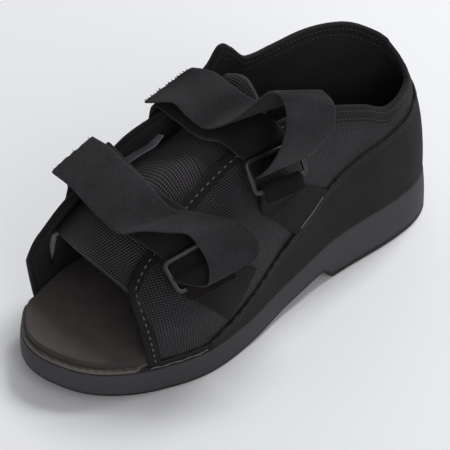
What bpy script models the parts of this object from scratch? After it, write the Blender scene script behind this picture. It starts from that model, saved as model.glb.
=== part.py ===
# Open-toed orthopedic shoe for the left foot: moulded sole, cloth upper, tongue and two looped straps.
# The toe points to -Y, the outer side of the foot is +X, and the origin is the middle of the heel's tread.
import math

import bmesh
import bpy
import numpy as np

# Driving sizes in metres
LENGTH = 0.290
BALL_HALF_WIDTH = 0.0577
HEEL_REST = 0.0464  # from the back of the heel to the middle of its tread
HEEL_TOP = 0.0305  # top of the sole above the floor at the heel
BALL_TOP = 0.0166  # top of the sole above the floor at the ball
TOE_SPRING = 0.0125
ARCH_RISE = 0.0090
SOLE_FLARE = 0.0015  # how far the wall of the sole leans in from tread to top
TREAD_BEVEL = 0.0012
GROOVE_DEPTH = 0.0014
GROOVE_WIDTH = 0.0024
UPPER_SETBACK = 0.0018  # from the sole's top edge to the upper
UPPER_WALL = 0.0020
BINDING_WIDTH = 0.0085
BINDING_STEP = 0.0008
COUNTER_THICKNESS = 0.0011
INSTEP_HEIGHT = 0.110  # top of the instep above the sole
BOARD_THICKNESS = 0.0023
INSOLE_THICKNESS = 0.0046
INSOLE_BEVEL = 0.0012
TONGUE_THICKNESS = 0.0026
STRAP_WIDTH = 0.033
STRAP_THICKNESS = 0.0016
RING_BAR = 0.0030
RING_SPAN = 0.0220  # across the bars, outside
TAB_THICKNESS = 0.0012
GAP = 0.0003


def columns(names, *rows):
    """A table with one named column for each entry of its rows."""
    return dict(zip(names, np.array(rows, float).T))


# Plan of the sole. Stations are shares of the length from the heel, widths are shares of the ball's half width.
OUTLINE = columns(
    ("station", "half", "centre"),
    (0.00, 0.000, -0.078),
    (0.03, 0.352, -0.085),
    (0.10, 0.534, -0.094),
    (0.20, 0.619, -0.100),
    (0.32, 0.648, -0.073),
    (0.45, 0.719, -0.004),
    (0.58, 0.872, 0.026),
    (0.70, 1.000, -0.010),
    (0.80, 0.931, -0.019),
    (0.88, 0.787, 0.000),
    (0.94, 0.594, 0.014),
    (0.98, 0.333, 0.024),
    (1.00, 0.000, 0.029),
)

# Side view of the sole: shares of the heel's extra height, of the toe spring at the top, and of the arch's rise.
PROFILE = columns(
    ("station", "heel", "toe", "arch"),
    (0.000, 1.07, 0.00, 0.00),
    (0.100, 1.00, 0.00, 0.00),
    (0.200, 1.00, 0.00, 0.00),
    (0.318, 0.84, 0.00, 0.00),
    (0.349, 0.73, 0.00, 1.00),
    (0.420, 0.48, 0.00, 0.78),
    (0.500, 0.23, 0.00, 0.42),
    (0.560, 0.09, 0.00, 0.15),
    (0.620, 0.02, 0.00, 0.00),
    (0.700, 0.00, 0.00, 0.00),
    (0.800, 0.00, 0.07, 0.00),
    (0.900, 0.00, 0.35, 0.00),
    (1.000, 0.00, 0.85, 0.00),
)
HEEL_BREAST = (0.318, 0.349)  # the slanted front face of the heel
SPRING_START = 0.72

# Free edge of the upper, from the toe opening on the inner side, round the heel, to the outer side. Stations below
# nought are the inner side. Lean and height say where the edge lies in from its foot and above the sole, as shares
# of the ball's half width and the instep, and sweep how far forward of its foot, as a share of the length.
TOPLINE = columns(
    ("station", "lean", "height", "round", "sweep"),
    (-0.905, 0.020, 0.300, 2.2, 0.014),
    (-0.890, 0.060, 0.400, 2.4, 0.010),
    (-0.870, 0.100, 0.465, 2.6, 0.006),
    (-0.845, 0.170, 0.555, 2.8, 0.004),
    (-0.800, 0.250, 0.660, 3.2, 0.000),
    (-0.700, 0.300, 0.795, 3.6, 0.000),
    (-0.595, 0.250, 0.950, 3.6, 0.000),
    (-0.530, 0.160, 1.010, 3.4, 0.000),
    (-0.470, 0.095, 1.090, 3.2, 0.000),
    (-0.437, 0.085, 1.185, 3.0, 0.000),
    (-0.415, 0.085, 1.130, 3.0, 0.000),
    (-0.380, 0.085, 1.010, 3.0, 0.000),
    (-0.340, 0.085, 0.985, 3.0, 0.000),
    (-0.240, 0.080, 0.965, 3.0, 0.000),
    (-0.140, 0.075, 0.925, 2.8, 0.000),
    (-0.060, 0.100, 0.830, 2.6, 0.000),
    (0.000, 0.190, 0.690, 2.5, 0.000),
    (0.060, 0.160, 0.622, 2.5, 0.000),
    (0.130, 0.125, 0.615, 2.8, 0.000),
    (0.210, 0.125, 0.725, 3.0, 0.000),
    (0.300, 0.150, 0.845, 3.2, 0.000),
    (0.410, 0.270, 0.945, 3.4, 0.000),
    (0.460, 0.360, 0.935, 3.6, 0.000),
    (0.530, 0.460, 0.900, 3.8, 0.000),
    (0.617, 0.550, 0.800, 4.0, 0.000),
    (0.700, 0.590, 0.656, 4.1, 0.004),
    (0.755, 0.530, 0.550, 4.0, 0.013),
    (0.795, 0.350, 0.480, 3.6, 0.022),
    (0.812, 0.187, 0.437, 3.0, 0.016),
)

# Top seam of the heel counter on either side, as a share of the instep height above the sole.
COUNTER_SEAM = columns(
    ("station", "height"),
    (0.000, 0.555),
    (0.060, 0.500),
    (0.130, 0.470),
    (0.200, 0.455),
    (0.300, 0.420),
    (0.380, 0.325),
    (0.460, 0.262),
    (0.540, 0.180),
    (0.610, 0.110),
    (0.680, 0.055),
)

# Tongue, from its front edge to its round rear end. The outer flank tucks under the outer quarter from "tuck" to
# its edge, and the inner flank follows the inner quarter from "low" up to "leave", all as shares of the walls.
# Ridge and dip are its height at the middle and where it leaves the outer quarter's edge.
TONGUE = columns(
    ("outer", "inner", "ridge", "shift", "tuck", "leave", "low"),
    (0.800, 0.852, 0.520, -0.10, 0.86, 0.82, 0.30),
    (0.770, 0.812, 0.610, -0.10, 0.80, 0.78, 0.26),
    (0.700, 0.735, 0.690, -0.10, 0.80, 0.77, 0.26),
    (0.617, 0.640, 0.820, -0.10, 0.82, 0.77, 0.34),
    (0.540, 0.555, 0.890, -0.12, 0.84, 0.77, 0.46),
    (0.470, 0.480, 0.935, -0.14, 0.86, 0.80, 0.62),
    (0.425, 0.428, 1.060, -0.16, 0.93, 0.86, 0.76),
)


def through(xs, ys, x):
    """Smooth curve through a table's points that never overshoots between two of them."""
    x = np.asarray(x, float)
    step = np.diff(xs)
    rise = np.diff(ys) / step
    heavy, light = 2 * step[1:] + step[:-1], step[1:] + 2 * step[:-1]
    turning = rise[:-1] * rise[1:] <= 0
    safe = [np.where(turning, 1.0, part) for part in (rise[:-1], rise[1:])]
    inner = np.where(turning, 0.0, (heavy + light) / (heavy / safe[0] + light / safe[1]))
    slope = np.concatenate([rise[:1], inner, rise[-1:]])
    i = np.clip(np.searchsorted(xs, x) - 1, 0, len(xs) - 2)
    t = (x - xs[i]) / step[i]
    return (
        (1 + 2 * t) * (1 - t) ** 2 * ys[i]
        + t * (1 - t) ** 2 * step[i] * slope[i]
        + t * t * (3 - 2 * t) * ys[i + 1]
        + t * t * (t - 1) * step[i] * slope[i + 1]
    )


def smooth_step(low, high, x):
    t = np.clip((np.asarray(x, float) - low) / (high - low), 0, 1)
    return t * t * (3 - 2 * t)


def unit(vectors):
    return vectors / np.linalg.norm(vectors, axis=-1, keepdims=True)


# Sole levels
def sole_top(station):
    heel = through(PROFILE["station"], PROFILE["heel"], station)
    toe = through(PROFILE["station"], PROFILE["toe"], station)
    return BALL_TOP + (HEEL_TOP - BALL_TOP) * heel + TOE_SPRING * toe


def sole_bottom(station):
    breast = smooth_step(*HEEL_BREAST, station)
    arch = np.where(
        station < HEEL_BREAST[1], breast, through(PROFILE["station"], PROFILE["arch"], station)
    )
    spring = np.clip((station - SPRING_START) / (1 - SPRING_START), 0, 1) ** 2
    return ARCH_RISE * arch + TOE_SPRING * spring


def half_width(station):
    square = through(OUTLINE["station"], OUTLINE["half"] ** 2, np.clip(station, 0, 1))
    return BALL_HALF_WIDTH * np.sqrt(np.maximum(square, 0))


def outline(station, side):
    """Edge of the tread in plan, on the outer side for side 1 and on the inner side for side -1."""
    middle = BALL_HALF_WIDTH * through(OUTLINE["station"], OUTLINE["centre"], station)
    return np.stack([middle + side * half_width(station), HEEL_REST - station * LENGTH], -1)


# Upper as a surface: run goes round the heel from the inner toe opening to the outer one, and rise goes up the wall.
HEEL_TURN = 0.06


def station_of(run):
    return np.sqrt(run * run + HEEL_TURN**2) - HEEL_TURN


def run_of(station):
    size = np.abs(station)
    return np.sign(station) * np.sqrt((size + HEEL_TURN) ** 2 - HEEL_TURN**2)


def topline(column, run):
    return through(run_of(TOPLINE["station"]), TOPLINE[column], run)


def wall_height(run):
    return INSTEP_HEIGHT * topline("height", run)


def wall(run, rise):
    """Outer face of the upper at a run and a rise from 0 at the sole to 1 at the free edge."""
    run, rise = np.broadcast_arrays(np.asarray(run, float), np.asarray(rise, float))

    def foot(at):
        return outline(station_of(at), np.where(at < 0, -1.0, 1.0))

    near, step = foot(run), 1e-4
    along = foot(run + step) - foot(run - step)
    inward = unit(np.stack([along[..., 1], -along[..., 0]], -1))
    share = rise ** topline("round", run)
    inset = SOLE_FLARE + UPPER_SETBACK + BALL_HALF_WIDTH * topline("lean", run) * share
    plan = near + inward * inset[..., None]
    plan[..., 1] -= LENGTH * topline("sweep", run) * rise
    height = sole_top(station_of(run)) + GAP + wall_height(run) * rise
    return np.concatenate([plan, height[..., None]], -1)


def wall_normal(run, rise):
    """Direction that points out of the upper's outer face."""
    step = 1e-4
    low = np.maximum(rise - step, 0)
    along = wall(run + step, rise) - wall(run - step, rise)
    up = wall(run, rise + step) - wall(run, low)
    return unit(np.cross(up, along))


def on_wall(run, rise, lift):
    return wall(run, rise) + wall_normal(run, rise) * np.asarray(lift, float)[..., None]


# Mesh helpers
def add_solid(name, points, faces, paint):
    mesh = bpy.data.meshes.new(name)
    mesh.from_pydata([tuple(point) for point in points], [], [tuple(face) for face in faces])
    tidy = bmesh.new()
    tidy.from_mesh(mesh)
    bmesh.ops.remove_doubles(tidy, verts=tidy.verts, dist=1e-7)
    bmesh.ops.recalc_face_normals(tidy, faces=tidy.faces)
    tidy.to_mesh(mesh)
    tidy.free()
    mesh.shade_smooth()
    mesh.set_sharp_from_angle(angle=math.radians(35))
    mesh.materials.append(paint)
    piece = bpy.data.objects.new(name, mesh)
    bpy.context.scene.collection.objects.link(piece)
    return piece


def material(name, colour, roughness, metallic=0.0):
    paint = bpy.data.materials.new(name)
    paint.use_nodes = True
    shader = paint.node_tree.nodes["Principled BSDF"]
    shader.inputs["Base Color"].default_value = (*colour, 1)
    shader.inputs["Roughness"].default_value = roughness
    shader.inputs["Metallic"].default_value = metallic
    paint.diffuse_color = (*colour, 1)
    return paint


def grid_faces(rows, across, start=0, flip=False):
    index = start + np.arange(rows * across).reshape(rows, across)
    quads = np.stack([index[:-1, :-1], index[1:, :-1], index[1:, 1:], index[:-1, 1:]], -1).reshape(-1, 4)
    return quads[:, ::-1] if flip else quads


def add_shell(name, outer, inner, paint):
    """Closed solid between two grids of points, joined along their four borders."""
    rows, across = outer.shape[:2]
    count = rows * across
    index = np.arange(count).reshape(rows, across)
    border = np.concatenate([index[0, :-1], index[:-1, -1], index[-1, :0:-1], index[:0:-1, 0]])
    after = np.roll(border, -1)
    rim = np.stack([border, after, after + count, border + count], -1)
    faces = np.concatenate([grid_faces(rows, across), grid_faces(rows, across, count, True), rim])
    return add_solid(name, np.concatenate([outer.reshape(-1, 3), inner.reshape(-1, 3)]), faces, paint)


def add_slab(name, stations, levels, paint):
    """Closed solid in the plan of the sole. Each level is an inset and a height at every point round the outline."""
    last = len(stations) - 1
    round_stations = np.concatenate([stations, stations[-2:0:-1]])
    side = np.where(np.arange(2 * last) <= last, 1.0, -1.0)
    edge = outline(round_stations, side)
    along = np.roll(edge, -1, 0) - np.roll(edge, 1, 0)
    inward = unit(np.stack([along[:, 1], -along[:, 0]], -1))
    rings = []
    for inset, height in levels:
        plan = edge + inward * np.broadcast_to(inset(round_stations, side), edge.shape[:1])[:, None]
        rings.append(np.column_stack([plan, height(round_stations)]))
    around = 2 * last
    faces = []
    for level in range(len(rings) - 1):
        base = level * around
        for i in range(around):
            j = (i + 1) % around
            faces.append((base + i, base + j, base + around + j, base + around + i))
    for base, order in ((0, -1), ((len(rings) - 1) * around, 1)):
        cap = [(0, 1, around - 1), (last - 1, last, last + 1)]
        cap += [(i, i + 1, around - i - 1, around - i) for i in range(1, last - 1)]
        faces += [tuple(base + i for i in face)[::order] for face in cap]
    return add_solid(name, np.concatenate(rings), faces, paint)


# Sole, board and insole
def groove_centres():
    """Cross grooves of the heel and the forefoot, clear of the two flat spots that the shoe rests on."""
    heel = np.arange(0.020, 0.300, 0.040)
    forefoot = np.arange(0.530, 0.960, 0.040)
    return np.concatenate([heel, forefoot])


def round_spaced(count):
    """Stations that crowd together towards the heel's back and the toe's tip."""
    return 0.5 - 0.5 * np.cos(np.linspace(0, np.pi, count))


def add_outsole(paint):
    half_groove = 0.5 * GROOVE_WIDTH / LENGTH
    draft = 0.25 * GROOVE_WIDTH / LENGTH
    offsets = np.array([-half_groove - draft, -half_groove, half_groove, half_groove + draft])
    cuts = (groove_centres()[:, None] + offsets).ravel()
    plain = np.concatenate([round_spaced(33), HEEL_BREAST])
    plain = plain[[np.abs(cuts - station).min() > draft for station in plain]]
    stations = np.unique(np.concatenate([plain, cuts]))

    def bottom(station):
        from_centre = np.abs(station[:, None] - groove_centres()).min(1)
        depth = 1 - smooth_step(half_groove, half_groove + draft, from_centre)
        return sole_bottom(station) + GROOVE_DEPTH * depth

    levels = (
        (lambda station, side: TREAD_BEVEL, bottom),
        (lambda station, side: 0.0, lambda station: bottom(station) + TREAD_BEVEL),
        (lambda station, side: SOLE_FLARE, sole_top),
    )
    return add_slab("outsole", stations, levels, paint)


def edge_inset(in_opening):
    """Inset of a layer that is wider in the toe opening than between the walls of the upper."""
    enclosed = SOLE_FLARE + UPPER_SETBACK + UPPER_WALL + 2 * GAP

    def inset(station, side):
        front = np.where(side > 0, TOPLINE["station"][-1], -TOPLINE["station"][0])
        return enclosed + (in_opening - enclosed) * smooth_step(front + 0.012, front + 0.035, station)

    return inset


def add_board(paint):
    inset = edge_inset(SOLE_FLARE + 0.0004)
    levels = (
        (inset, lambda station: sole_top(station) + GAP),
        (inset, lambda station: sole_top(station) + GAP + BOARD_THICKNESS),
    )
    return add_slab("insole_board", round_spaced(45), levels, paint)


def add_insole(paint):
    inset = edge_inset(SOLE_FLARE + 0.0026)
    base = 2 * GAP + BOARD_THICKNESS
    top = base + INSOLE_THICKNESS
    levels = (
        (lambda station, side: inset(station, side) + GAP, lambda station: sole_top(station) + base),
        (
            lambda station, side: inset(station, side) + GAP,
            lambda station: sole_top(station) + top - INSOLE_BEVEL,
        ),
        (
            lambda station, side: inset(station, side) + GAP + INSOLE_BEVEL,
            lambda station: sole_top(station) + top,
        ),
    )
    return add_slab("insole", round_spaced(45), levels, paint)


# Upper and counter
def add_upper(paint):
    runs = np.linspace(run_of(TOPLINE["station"][0]), run_of(TOPLINE["station"][-1]), 71)
    rises = 1 - (1 - np.linspace(0, 1, 12)) ** 1.25
    edge = 1 - BINDING_WIDTH / (1.1 * INSTEP_HEIGHT)
    rises = np.unique(np.concatenate([rises[rises < edge - 0.02], [edge - 0.008, edge + 0.008, 0.97, 1.0]]))
    run, rise = np.meshgrid(runs, rises, indexing="ij")
    below_edge = (1 - rise) * wall_height(run)
    behind_front = LENGTH * np.minimum(run - runs[0], runs[-1] - run)
    step = BINDING_STEP * (1 - smooth_step(0.8, 1.1, np.minimum(below_edge, behind_front) / BINDING_WIDTH))
    step[:, 0] = 0
    return add_shell("upper", on_wall(run, rise, step), on_wall(run, rise, 0 * rise - UPPER_WALL), paint)


def counter_height(run):
    height = INSTEP_HEIGHT * through(COUNTER_SEAM["station"], COUNTER_SEAM["height"], station_of(run))
    return np.minimum(height, wall_height(run) - 1.25 * BINDING_WIDTH)


def add_counter(paint):
    end = run_of(COUNTER_SEAM["station"][-1])
    run, share = np.meshgrid(np.linspace(-end, end, 57), np.linspace(0, 1, 6), indexing="ij")
    rise = share * counter_height(run) / wall_height(run)
    inner = on_wall(run, rise, 0 * rise + GAP)
    outer = on_wall(run, rise, 0 * rise + GAP + COUNTER_THICKNESS)
    return add_shell("heel_counter", outer, inner, paint)


# Curves and ribbons
def spline(points, samples):
    """Points at even distances along a smooth curve through the given points."""
    points = np.asarray(points, float)
    chord = np.concatenate([[0], np.cumsum(np.sqrt(np.linalg.norm(np.diff(points, axis=0), axis=1)))])
    padded = np.concatenate([[2 * points[0] - points[1]], points, [2 * points[-1] - points[-2]]])
    fine = np.linspace(0, chord[-1], 12 * samples)
    i = np.clip(np.searchsorted(chord, fine) - 1, 0, len(points) - 2)
    t = ((fine - chord[i]) / (chord[i + 1] - chord[i]))[:, None]
    before, start, end, beyond = padded[i], padded[i + 1], padded[i + 2], padded[i + 3]
    curve = 0.5 * (
        2 * start
        + (end - before) * t
        + (2 * before - 5 * start + 4 * end - beyond) * t**2
        + (3 * start - before - 3 * end + beyond) * t**3
    )
    length = np.concatenate([[0], np.cumsum(np.linalg.norm(np.diff(curve, axis=0), axis=1))])
    even = np.linspace(0, length[-1], samples)
    return np.stack([np.interp(even, length, curve[:, k]) for k in range(curve.shape[1])], -1)


def ribbon_faces(middle, across, width, thickness):
    """Two grids of points, the outer and the inner face of a strap along a path."""
    across = unit(across)
    normal = unit(np.cross(np.gradient(middle, axis=0), across))
    spread = np.linspace(-0.5, 0.5, 3)[:, None] * width
    face = middle[:, None] + across[:, None] * spread
    return face + 0.5 * thickness * normal[:, None], face - 0.5 * thickness * normal[:, None]


def width_direction(turn, tilt):
    """Way across a strap: turn swings its rear edge outwards and tilt lifts it, both in degrees."""
    turn, tilt = np.radians(turn), np.radians(tilt)
    return np.array([math.sin(turn) * math.cos(tilt), math.cos(turn) * math.cos(tilt), math.sin(tilt)])


def fold_place(kind, *values):
    """Place of one fold of a strap and the way across it there, towards the heel.

    A free fold has a station, an across and a height share, a turn and a tilt. In a ring it has a share of the
    ring's span down from its middle and a lift, and on a quarter a station, a rise and a lift off the cloth.
    """
    if kind == "free":
        station, across, height, turn, tilt = values
        middle = BALL_HALF_WIDTH * through(OUTLINE["station"], OUTLINE["centre"], station)
        level = sole_top(station) + INSTEP_HEIGHT * height
        place = [middle + BALL_HALF_WIDTH * across, HEEL_REST - station * LENGTH, level]
        return np.array(place), width_direction(turn, tilt)
    if kind in RINGS:
        share, lift = values
        middle, along, down, outward = ring_frame(RINGS[kind])
        return middle + down * share * RING_SPAN + outward * lift, along
    station, rise, lift = values
    side = {"outer": 1, "inner": -1}[kind]
    run, step = run_of(side * station), 1e-3
    along = wall(run - side * step, rise) - wall(run + side * step, rise)
    return on_wall(run, np.float64(rise), lift), unit(along)


# Rings lie over the outer quarter. Slope is the fall of the way down the ring, in degrees.
RINGS = {
    "ring_front": {"station": 0.684, "across": 0.838, "height": 0.589, "turn": 14, "tilt": 20, "slope": 60},
    "ring_rear": {"station": 0.4695, "across": 0.606, "height": 0.824, "turn": -3, "tilt": -5, "slope": 57},
}

# Folds of the straps, from the sewn end on the inner quarter, over the instep, through the ring, round the slack
# loop and back to the free end.
LAID = 0.5 * STRAP_THICKNESS + GAP
UNDER_BAR = -(0.5 * RING_BAR + 0.5 * STRAP_THICKNESS + 3 * GAP)
STRAP_FRONT = (
    ("inner", 0.735, 0.40, LAID + 0.0004),
    ("inner", 0.735, 0.62, LAID + 0.0004),
    ("inner", 0.736, 0.83, LAID + 0.0008),
    ("inner", 0.738, 0.95, LAID + 0.0022),
    ("free", 0.741, -0.640, 0.804, -9, 19),
    ("free", 0.743, -0.300, 0.772, -8, 20),
    ("free", 0.741, 0.050, 0.755, 6, 23),
    ("free", 0.724, 0.300, 0.737, 8, 20),
    ("free", 0.704, 0.520, 0.703, 10, 18),
    ("ring_front", -0.440, UNDER_BAR),
    ("ring_front", -0.050, 0.0002),
    ("ring_front", 0.080, 0.0045),
    ("free", 0.655, 1.060, 0.560, 14, 16),
    ("free", 0.640, 1.085, 0.560, 7, 2),
    ("free", 0.629, 1.000, 0.620, 2, -8),
    ("free", 0.638, 0.898, 0.710, 1, -15),
    ("free", 0.650, 0.790, 0.757, 4, -16),
    ("free", 0.675, 0.625, 0.763, 0, -9),
    ("free", 0.709, 0.472, 0.768, 3, -3),
    ("free", 0.742, 0.320, 0.756, 13, 13),
    ("free", 0.750, 0.056, 0.788, 9, 24),
    ("free", 0.752, -0.321, 0.796, -9, 19),
    ("free", 0.757, -0.558, 0.820, -11, 16),
    ("free", 0.765, -0.823, 0.818, -12, 11),
)
STRAP_REAR = (
    ("inner", 0.545, 0.40, LAID + 0.0004),
    ("inner", 0.545, 0.62, LAID + 0.0004),
    ("inner", 0.545, 0.83, LAID + 0.0008),
    ("inner", 0.543, 0.95, LAID + 0.0016),
    ("free", 0.541, -0.640, 1.050, 0, 22),
    ("free", 0.530, -0.330, 1.035, -2, 16),
    ("free", 0.512, 0.000, 0.988, 0, 13),
    ("free", 0.496, 0.250, 1.005, 0, 6),
    ("free", 0.482, 0.440, 0.948, -2, 0),
    ("ring_rear", -0.440, UNDER_BAR),
    ("ring_rear", -0.050, 0.0002),
    ("ring_rear", 0.000, 0.0045),
    ("free", 0.455, 0.760, 0.905, -6, -14),
    ("free", 0.439, 0.820, 0.985, -5, -21),
    ("free", 0.419, 0.825, 1.056, 2, -22),
    ("free", 0.409, 0.793, 1.133, 9, -24),
    ("free", 0.408, 0.740, 1.196, 13, -22),
    ("free", 0.416, 0.666, 1.241, 9, -21),
    ("free", 0.428, 0.613, 1.252, 10, -16),
    ("free", 0.455, 0.443, 1.163, 5, -10),
    ("free", 0.478, 0.244, 1.070, 1, -5),
    ("free", 0.498, -0.014, 1.020, 0, 11),
    ("free", 0.518, -0.197, 1.075, -1, 9),
    ("free", 0.525, -0.434, 1.096, -7, 6),
    ("free", 0.556, -0.676, 1.080, 9, 27),
)


def add_strap(name, folds, samples, paint):
    places, ways = zip(*(fold_place(*fold) for fold in folds))
    path = spline(np.column_stack([places, np.array(ways) * 0.01]), samples)
    outer, inner = ribbon_faces(path[:, :3], path[:, 3:], STRAP_WIDTH, STRAP_THICKNESS)
    return add_shell(name, outer, inner, paint)


def ring_frame(ring):
    """Middle of a ring and its directions: along the bars to the heel, down the quarter, and outwards."""
    middle, along = fold_place("free", *(ring[name] for name in ("station", "across", "height", "turn", "tilt")))
    slope = math.radians(ring["slope"])
    down = np.array([math.cos(slope), 0, -math.sin(slope)])
    down = unit(down - along * (down @ along))
    return middle, along, down, np.cross(along, -down)


def add_ring(name, ring, paint):
    """Rectangle of round bar with rounded corners that the strap runs through."""
    middle, along, down, outward = ring_frame(ring)
    half_long = 0.5 * (STRAP_WIDTH + RING_BAR) + 2 * GAP
    half_short = 0.5 * (RING_SPAN - RING_BAR)
    corner = RING_BAR
    path = []
    for number in range(4):
        centre = ((1, 1), (-1, 1), (-1, -1), (1, -1))[number]
        for angle in np.radians(np.linspace(0, 90, 5) + 90 * number):
            path.append(
                (
                    centre[0] * (half_long - corner) + corner * math.cos(angle),
                    centre[1] * (half_short - corner) + corner * math.sin(angle),
                )
            )
    path = np.array(path)
    ahead = unit(np.roll(path, -1, 0) - np.roll(path, 1, 0))
    side = np.stack([ahead[:, 1], -ahead[:, 0]], -1)
    angles = np.linspace(0, 2 * np.pi, 8, endpoint=False)
    flat = path[:, None] + side[:, None] * (0.5 * RING_BAR * np.cos(angles))[None, :, None]
    points = (
        middle
        + flat[..., :1] * along
        + flat[..., 1:] * down
        + (0.5 * RING_BAR * np.sin(angles))[None, :, None] * outward
    )
    count, sides = points.shape[:2]
    index = np.arange(count * sides).reshape(count, sides)
    after, beside = np.roll(index, -1, 0), np.roll(index, -1, 1)
    faces = np.stack([index, after, np.roll(after, -1, 1), beside], -1).reshape(-1, 4)
    return add_solid(name, points.reshape(-1, 3), faces, paint)


def add_tab(name, ring, rises, paint):
    """Cloth tab sewn to the outer quarter, folded round the lower bar of its ring."""
    middle, along, down, outward = ring_frame(ring)
    bar = middle + down * 0.5 * (RING_SPAN - RING_BAR)
    turn = 0.5 * RING_BAR + GAP + 0.5 * TAB_THICKNESS
    places = [bar + turn * (outward + 3.2 * down), bar + turn * (outward + 1.6 * down)]
    for angle in np.radians((90, 135, 180, 225, 270)):
        places.append(bar + turn * (math.sin(angle) * outward + math.cos(angle) * down))
    ways = [along] * len(places)
    for rise in rises:
        place, way = fold_place("outer", ring["station"], rise, 4 * GAP + 0.5 * TAB_THICKNESS)
        places.append(place)
        ways.append(way)
    path = spline(np.column_stack([places, np.array(ways) * 0.01]), 30)
    outer, inner = ribbon_faces(path[:, :3], path[:, 3:], STRAP_WIDTH - 2 * RING_BAR, TAB_THICKNESS)
    return add_shell(name, outer, inner, paint)


# Tongue
def tongue_faces(rows, across):
    """Outer and inner face of the tongue, from its front edge to its rear end."""
    share = np.linspace(0, 1, rows)
    place = np.linspace(0, 1, len(TONGUE["ridge"]))
    row = {name: through(place, column, share) for name, column in TONGUE.items()}
    depth = UPPER_WALL + 2 * GAP + 0.5 * TONGUE_THICKNESS
    middle = []
    for k in range(rows):
        outer_run, inner_run = run_of(row["outer"][k]), run_of(-row["inner"][k])
        tuck, leave, low = row["tuck"][k], row["leave"][k], row["low"][k]
        rises = np.linspace(tuck, 1, 4)
        points = list(on_wall(outer_run + 0 * rises, rises, -depth * np.array([1.1, 1.1, 1.2, 1.5])))
        station = 0.5 * (row["outer"][k] + row["inner"][k])
        points.append(fold_place("free", station, row["shift"][k], row["ridge"][k], 0, 0)[0])
        rises = np.linspace(leave, low, 6)
        points += list(on_wall(inner_run + 0 * rises, rises, -depth * np.array([1.8, 1.2, 1.1, 1.1, 1.1, 1.1])))
        middle.append(spline(points, across))
    middle = np.array(middle)
    normal = unit(np.cross(np.gradient(middle, axis=0), np.gradient(middle, axis=1)))
    return middle + 0.5 * TONGUE_THICKNESS * normal, middle - 0.5 * TONGUE_THICKNESS * normal


def add_tongue(paint):
    outer, inner = tongue_faces(17, 23)
    return add_shell("tongue", outer, inner, paint)


def clear_scene():
    for old in list(bpy.data.objects):
        bpy.data.objects.remove(old)


def build():
    clear_scene()
    sole_rubber = material("sole_rubber", (0.055, 0.053, 0.055), 0.62)
    board_fibre = material("board_fibre", (0.24, 0.21, 0.19), 0.80)
    insole_suede = material("insole_suede", (0.040, 0.033, 0.030), 0.95)
    mesh_cloth = material("mesh_cloth", (0.055, 0.050, 0.053), 0.90)
    twill_cloth = material("twill_cloth", (0.035, 0.031, 0.031), 0.88)
    strap_nap = material("strap_nap", (0.050, 0.054, 0.056), 0.85)
    tab_velour = material("tab_velour", (0.040, 0.036, 0.036), 0.95)
    ring_plastic = material("ring_plastic", (0.070, 0.072, 0.074), 0.45)
    add_outsole(sole_rubber)
    add_board(board_fibre)
    add_insole(insole_suede)
    add_upper(mesh_cloth)
    add_counter(twill_cloth)
    add_tongue(mesh_cloth)
    add_strap("strap_front", STRAP_FRONT, 82, strap_nap)
    add_strap("strap_rear", STRAP_REAR, 82, strap_nap)
    add_ring("ring_front", RINGS["ring_front"], ring_plastic)
    add_ring("ring_rear", RINGS["ring_rear"], ring_plastic)
    add_tab("tab_front", RINGS["ring_front"], (0.50, 0.36, 0.20), tab_velour)
    add_tab("tab_rear", RINGS["ring_rear"], (0.60, 0.46, 0.335), tab_velour)


build()
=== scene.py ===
# Looks of a left post-operative shoe: mesh cloth upper, looped straps and a moulded sole on a pale studio floor.
import math

import bmesh
import bpy
import numpy as np
from mathutils import Matrix


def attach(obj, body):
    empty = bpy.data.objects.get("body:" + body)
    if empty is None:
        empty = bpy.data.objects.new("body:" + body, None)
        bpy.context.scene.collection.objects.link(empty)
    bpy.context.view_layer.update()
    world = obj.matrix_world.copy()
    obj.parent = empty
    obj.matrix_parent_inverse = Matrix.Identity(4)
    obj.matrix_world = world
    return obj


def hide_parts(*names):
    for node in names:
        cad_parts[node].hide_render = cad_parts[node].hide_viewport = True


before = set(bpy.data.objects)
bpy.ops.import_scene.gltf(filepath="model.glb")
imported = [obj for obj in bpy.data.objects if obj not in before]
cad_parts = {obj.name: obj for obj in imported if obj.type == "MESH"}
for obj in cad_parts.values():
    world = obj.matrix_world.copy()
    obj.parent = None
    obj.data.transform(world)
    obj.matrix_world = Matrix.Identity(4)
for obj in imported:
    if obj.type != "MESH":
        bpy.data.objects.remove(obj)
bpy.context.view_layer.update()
print("frame loaded")


def columns(names, *rows):  # a table with one named column for each entry of its rows
    return dict(zip(names, np.array(rows, float).T))


# Sizes in metres, the same as the solids'
last = {"length": 0.290, "ballHalfWidth": 0.0577, "heelRest": 0.0464, "instepHeight": 0.110, "gap": 0.0003}
sole = {
    "heelTop": 0.0305,
    "ballTop": 0.0166,
    "toeSpring": 0.0125,
    "archRise": 0.0090,
    "flare": 0.0015,
    "bevel": 0.0012,
    "grooveDepth": 0.0014,
    "grooveWidth": 0.0024,
    "breast": (0.318, 0.349),
    "springStart": 0.72,
}
upper = {"setback": 0.0018, "wall": 0.0020, "bindingWidth": 0.0085, "bindingStep": 0.0008, "heelTurn": 0.06}
counter = {"thickness": 0.0011}
footbed = {"board": 0.0023, "insole": 0.0046, "bevel": 0.0012}
tongue = {"thickness": 0.0026}
straps = {"width": 0.033, "thickness": 0.0016}
rings = {"bar": 0.0030, "span": 0.0220}
tabs = {"thickness": 0.0012}

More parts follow.
